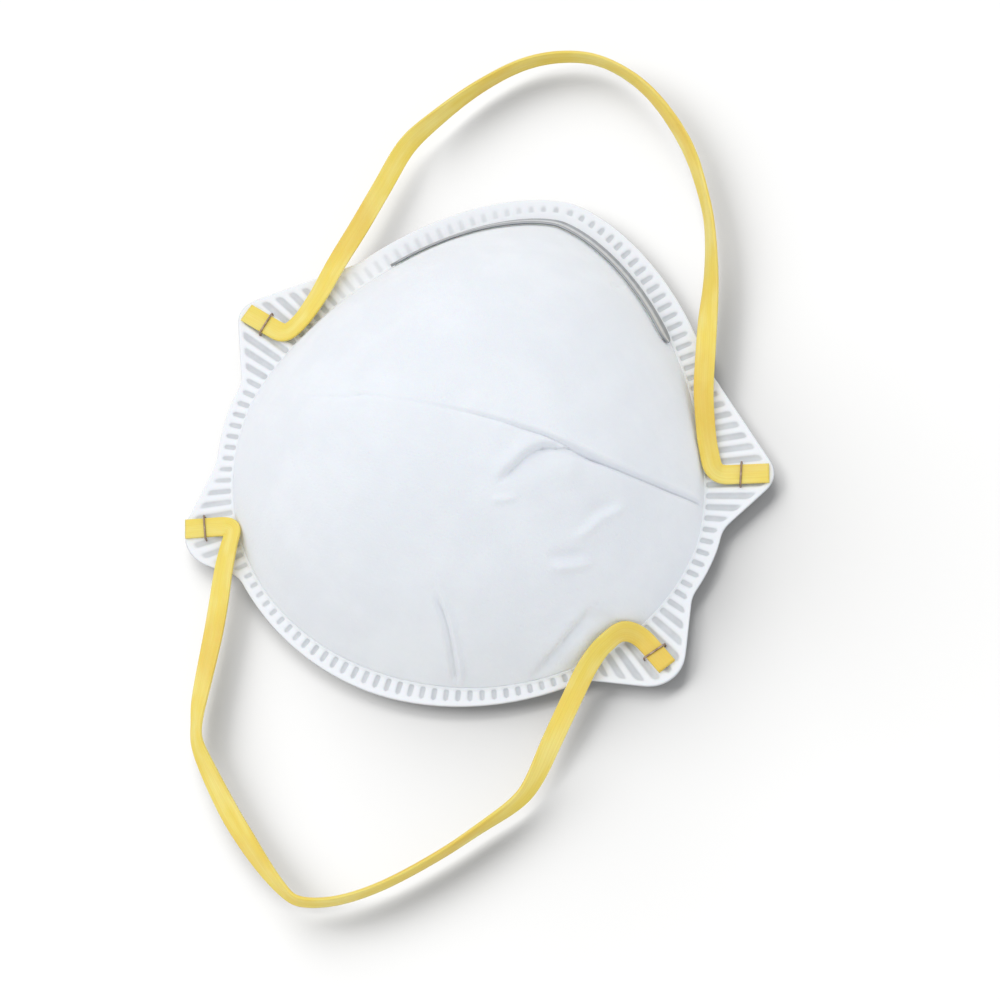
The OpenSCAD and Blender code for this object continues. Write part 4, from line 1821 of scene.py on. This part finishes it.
@dataclass
class ElasticBand:
    """One elastic band: both ends stapled, and a free loop lying between them.

    Attributes:
        name: Name of the piece.
        node: CAD node that it stands for.
        body: Body that would carry the loop; not used.
        ends: Its stapled ends.
        route: X, Y, height of the lower edge and roll at places along the loop.
        blend_from: Y at which it would begin to leave the mask; blend_to where it would ride on its body.
            Neither is used.
        corner: Radius of the section's corners.
    """

    name: str
    node: str
    body: Body
    ends: dict[Side, BandEnd]
    route: tuple[Point4, ...]
    blend_from: float
    blend_to: float
    width: float = 5.2
    thick: float = 0.9
    corner: float = 0.28

    def stations(self) -> Array:
        """Rows of X, Y, Z and roll along the whole band.

        Returns:
            The rows, from the left tip to the right one.
        """
        right = self.ends[Side.RIGHT].stations(self.width)
        left = self.ends[Side.LEFT].stations(self.width) * np.array([-1, 1, 1, 1])
        rows = np.vstack([left, through(np.array(self.route), 3), right[::-1]])
        rows[:, 2] += self.width / 2 * np.sin(np.radians(np.abs(rows[:, 3])))
        return rows

    def eased(self, step: float = 0.6, passes: int = 7) -> Array:
        """Space the stations evenly and ease them, so that neither edge turns back.

        Args:
            step: Distance between two of the finer stations.
            passes: How often each is drawn towards its neighbours.

        Returns:
            Rows of X, Y, Z and roll.
        """
        rows = self.stations()
        passed = running_length(rows[:, :3])
        even = np.linspace(0, passed[-1], round(passed[-1] / step))
        fine = np.column_stack([np.interp(even, passed, column) for column in rows.T])
        for _ in range(passes):
            fine[1:-1] = (fine[:-2] + 2 * fine[1:-1] + fine[2:]) / 4
        return fine

    def build(self) -> bpy.types.Object:
        """Returns:
            The band, swept along its stations.
        """
        fine = self.eased()
        path, roll = fine[:, :3], np.radians(fine[:, 3])
        way = unit(np.gradient(path, axis=0))
        flat = unit(np.cross(np.array([0.0, 0.0, 1.0]), way))
        tall = np.cross(way, flat)
        c, s = np.cos(roll)[:, None], np.sin(roll)[:, None]
        section = rounded_section(self.width, self.thick, self.corner)
        points, faces = sweep(path, flat * c + tall * s, tall * c - flat * s, section)
        band = make_mesh(self.name, points, faces)
        passed = running_length(path)
        around = np.tile(running_length(section), len(path))
        lay_map(band, np.column_stack([np.repeat(passed, len(section)), around]) * MM)
        finish = ElasticFinish()
        band.data.materials.append(finish.make())
        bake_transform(band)
        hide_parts(self.node)
        LOG.info("%s is %.0f mm long", self.name, passed[-1])
        return band


HEAD_BAND = ElasticBand(
    name="head_strap_band",
    node="head_band",
    body=Body.HEAD,
    ends={
        Side.LEFT: BandEnd((66.9, 15.9), 194, -84, 6.5, 9.9, 0.3, 0.4, -14),
        Side.RIGHT: BandEnd((66.9, 13.4), 200, -72, 7.2, 10.1, 0.3, 0.6, -20),
    },
    route=(
        (-57.6, 19.8, 2.3, -17),
        (-55.9, 27.4, 2.8, -10),
        (-54.5, 37.2, 3.8, 0),
        (-52.5, 48.1, 3.7, 12),
        (-50.7, 62.2, 2.9, 20),
        (-49, 74.8, 2, 35),
        (-44.7, 84.3, 1, 60),
        (-37.3, 96.5, 0.4, 78),
        (-27.9, 107.1, 0.2, 84),
        (-17.3, 112.9, 0.2, 86),
        (-5.9, 114.2, 0.2, 86),
        (8.3, 109.2, 0.3, 75),
        (22.8, 97.4, 0.4, 62),
        (32.8, 83.5, 0.3, 66),
        (37.7, 73.8, 0.8, 60),
        (42, 61.9, 1.5, 42),
        (45, 50.8, 2.9, 15),
        (47.6, 41.7, 4, 0),
        (50.3, 32.4, 3.4, -15),
        (52.9, 25.7, 3.1, -23),
        (55.8, 19, 2.6, -24),
    ),
    blend_from=20.5,
    blend_to=30.0,
)

NECK_BAND = ElasticBand(
    name="neck_strap_band",
    node="neck_band",
    body=Body.NECK,
    ends={
        Side.LEFT: BandEnd((61.0, -42.6), 158, 113, 5.2, 10.3, 0.3, 1.1, 30),
        Side.RIGHT: BandEnd((61.8, -38.7), 148, 98, 5.0, 11.0, 2.2, 3.5, 48),
    },
    route=(
        (-52.6, -44.6, 2.8, 27),
        (-52.2, -48, 2.5, 20),
        (-51.4, -52.7, 2.5, 15),
        (-49.4, -61.1, 2.5, 8),
        (-47.4, -70.6, 2.2, 10),
        (-44.6, -86.2, 1.3, 30),
        (-43, -92.1, 0.8, 48),
        (-41, -97.4, 0.7, 52),
        (-35.7, -103.2, 0.9, 38),
        (-26.9, -111.4, 1.3, 20),
        (-20.6, -116.5, 1.2, 22),
        (-12.4, -122.5, 0.6, 45),
        (-5.4, -126.7, 0.2, 65),
        (-0.3, -128.1, 0.2, 80),
        (8.4, -124.9, 0.1, 86),
        (18.1, -117.5, 0.1, 88),
        (28.5, -106.1, 0.1, 88),
        (35.7, -96.5, 0.1, 84),
        (42.4, -87, 0.2, 68),
        (44.5, -80.1, 0.5, 50),
        (45.2, -69.8, 1.3, 25),
        (45.8, -62.6, 2, 12),
        (46.7, -54.1, 2.9, 12),
        (47.6, -48.6, 3.6, 30),
        (49.2, -43.6, 4.5, 43),
    ),
    blend_from=-47.2,
    blend_to=-57.5,
)


@dataclass
class Staple:
    """A wire staple across a band's end, clinched under the rim.

    Attributes:
        twist: Angle between the staple and the band, in degrees.
        reach: Half the distance between its legs.
        crown: Height of its crown.
        clinch: Height of its clinched legs.
        clinch_len: Length of a clinched leg.
        wire: Width of the wire.
        bend: Radius of its bends.
    """

    name: str
    end: BandEnd
    side: Side
    twist: float = -4.0
    reach: float = 3.25
    crown: float = 2.25
    clinch: float = 0.3
    clinch_len: float = 2.4
    wire: float = 0.5
    bend: float = 0.42

    def path(self) -> Array:
        """Points of the wire's middle, in the staple's own axes.

        Returns:
            The points, from one clinched tip over the crown to the other.
        """
        # Y and Z from the clinched tip, round the lower bend, up the leg and over to the crown
        half = [
            (self.reach - self.clinch_len, self.clinch - 0.02),
            (self.reach - self.clinch_len * 0.6, self.clinch - 0.04),
            (self.reach - self.bend * 1.3, self.clinch),
            (self.reach - self.bend * 0.3, self.clinch + self.bend * 0.3),
            (self.reach, self.clinch + self.bend * 1.2),
            (self.reach, self.crown - self.bend * 1.1),
            (self.reach - self.bend * 0.3, self.crown - self.bend * 0.3),
            (self.reach - self.bend * 1.2, self.crown),
            (self.reach * 0.5, self.crown + 0.03),
        ]
        line = [(0.0, y, z) for y, z in half] + [(0.0, 0.0, self.crown + 0.04)]
        line += [(0.0, -y, z) for y, z in half[::-1]]
        return through(np.array(line), 4)

    def build(self) -> bpy.types.Object:
        """Bend the wire and drive it in.

        Returns:
            The staple, riding on the mask.
        """
        path = self.path()
        way = unit(np.gradient(path, axis=0))
        wide = np.tile(np.array([1.0, 0.0, 0.0]), (len(path), 1))
        thick = np.cross(way, wide)
        points, faces = sweep(path, wide, thick, rounded_section(self.wire, self.wire * 0.9, 0.2, 3))
        turn = math.radians(self.side.value * (self.end.heading + self.twist - 180))
        c, s = math.cos(turn), math.sin(turn)
        turned = points @ np.array([[c, s, 0.0], [-s, c, 0.0], [0.0, 0.0, 1.0]])
        turned += np.array([self.side.value * self.end.place[0], self.end.place[1], 0.0])
        return dress(make_mesh(f"{self.name}_wire", turned, faces), self.name, StapleFinish())


# ---------------------------------------------------------------- the whole mask


def main() -> None:
    """Load the frame, then build and dress each sub-assembly in order."""
    logging.basicConfig(level=logging.INFO, format="%(name)s: %(message)s")
    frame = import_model()
    studio = Studio()
    studio.camera()
    for band in (HEAD_BAND, NECK_BAND):
        band.build()
        LOG.info("%s stands for %s", band.name, band.node)
    studio.light(studio.floor())
    studio.open_sky()
    shape = CupShape()
    CupPlies(shape).build()
    WeldedRim(shape).build(frame["nodes"]["welded_rim"])
    NoseClip(shape).build()
    NoseFoam(shape).build()
    for side in Side:
        word = side.name.lower()
        Staple(f"staple_upper_{word}", HEAD_BAND.ends[side], side).build()
        Staple(f"staple_lower_{word}", NECK_BAND.ends[side], side).build()


if __name__ == "__main__":
    main()
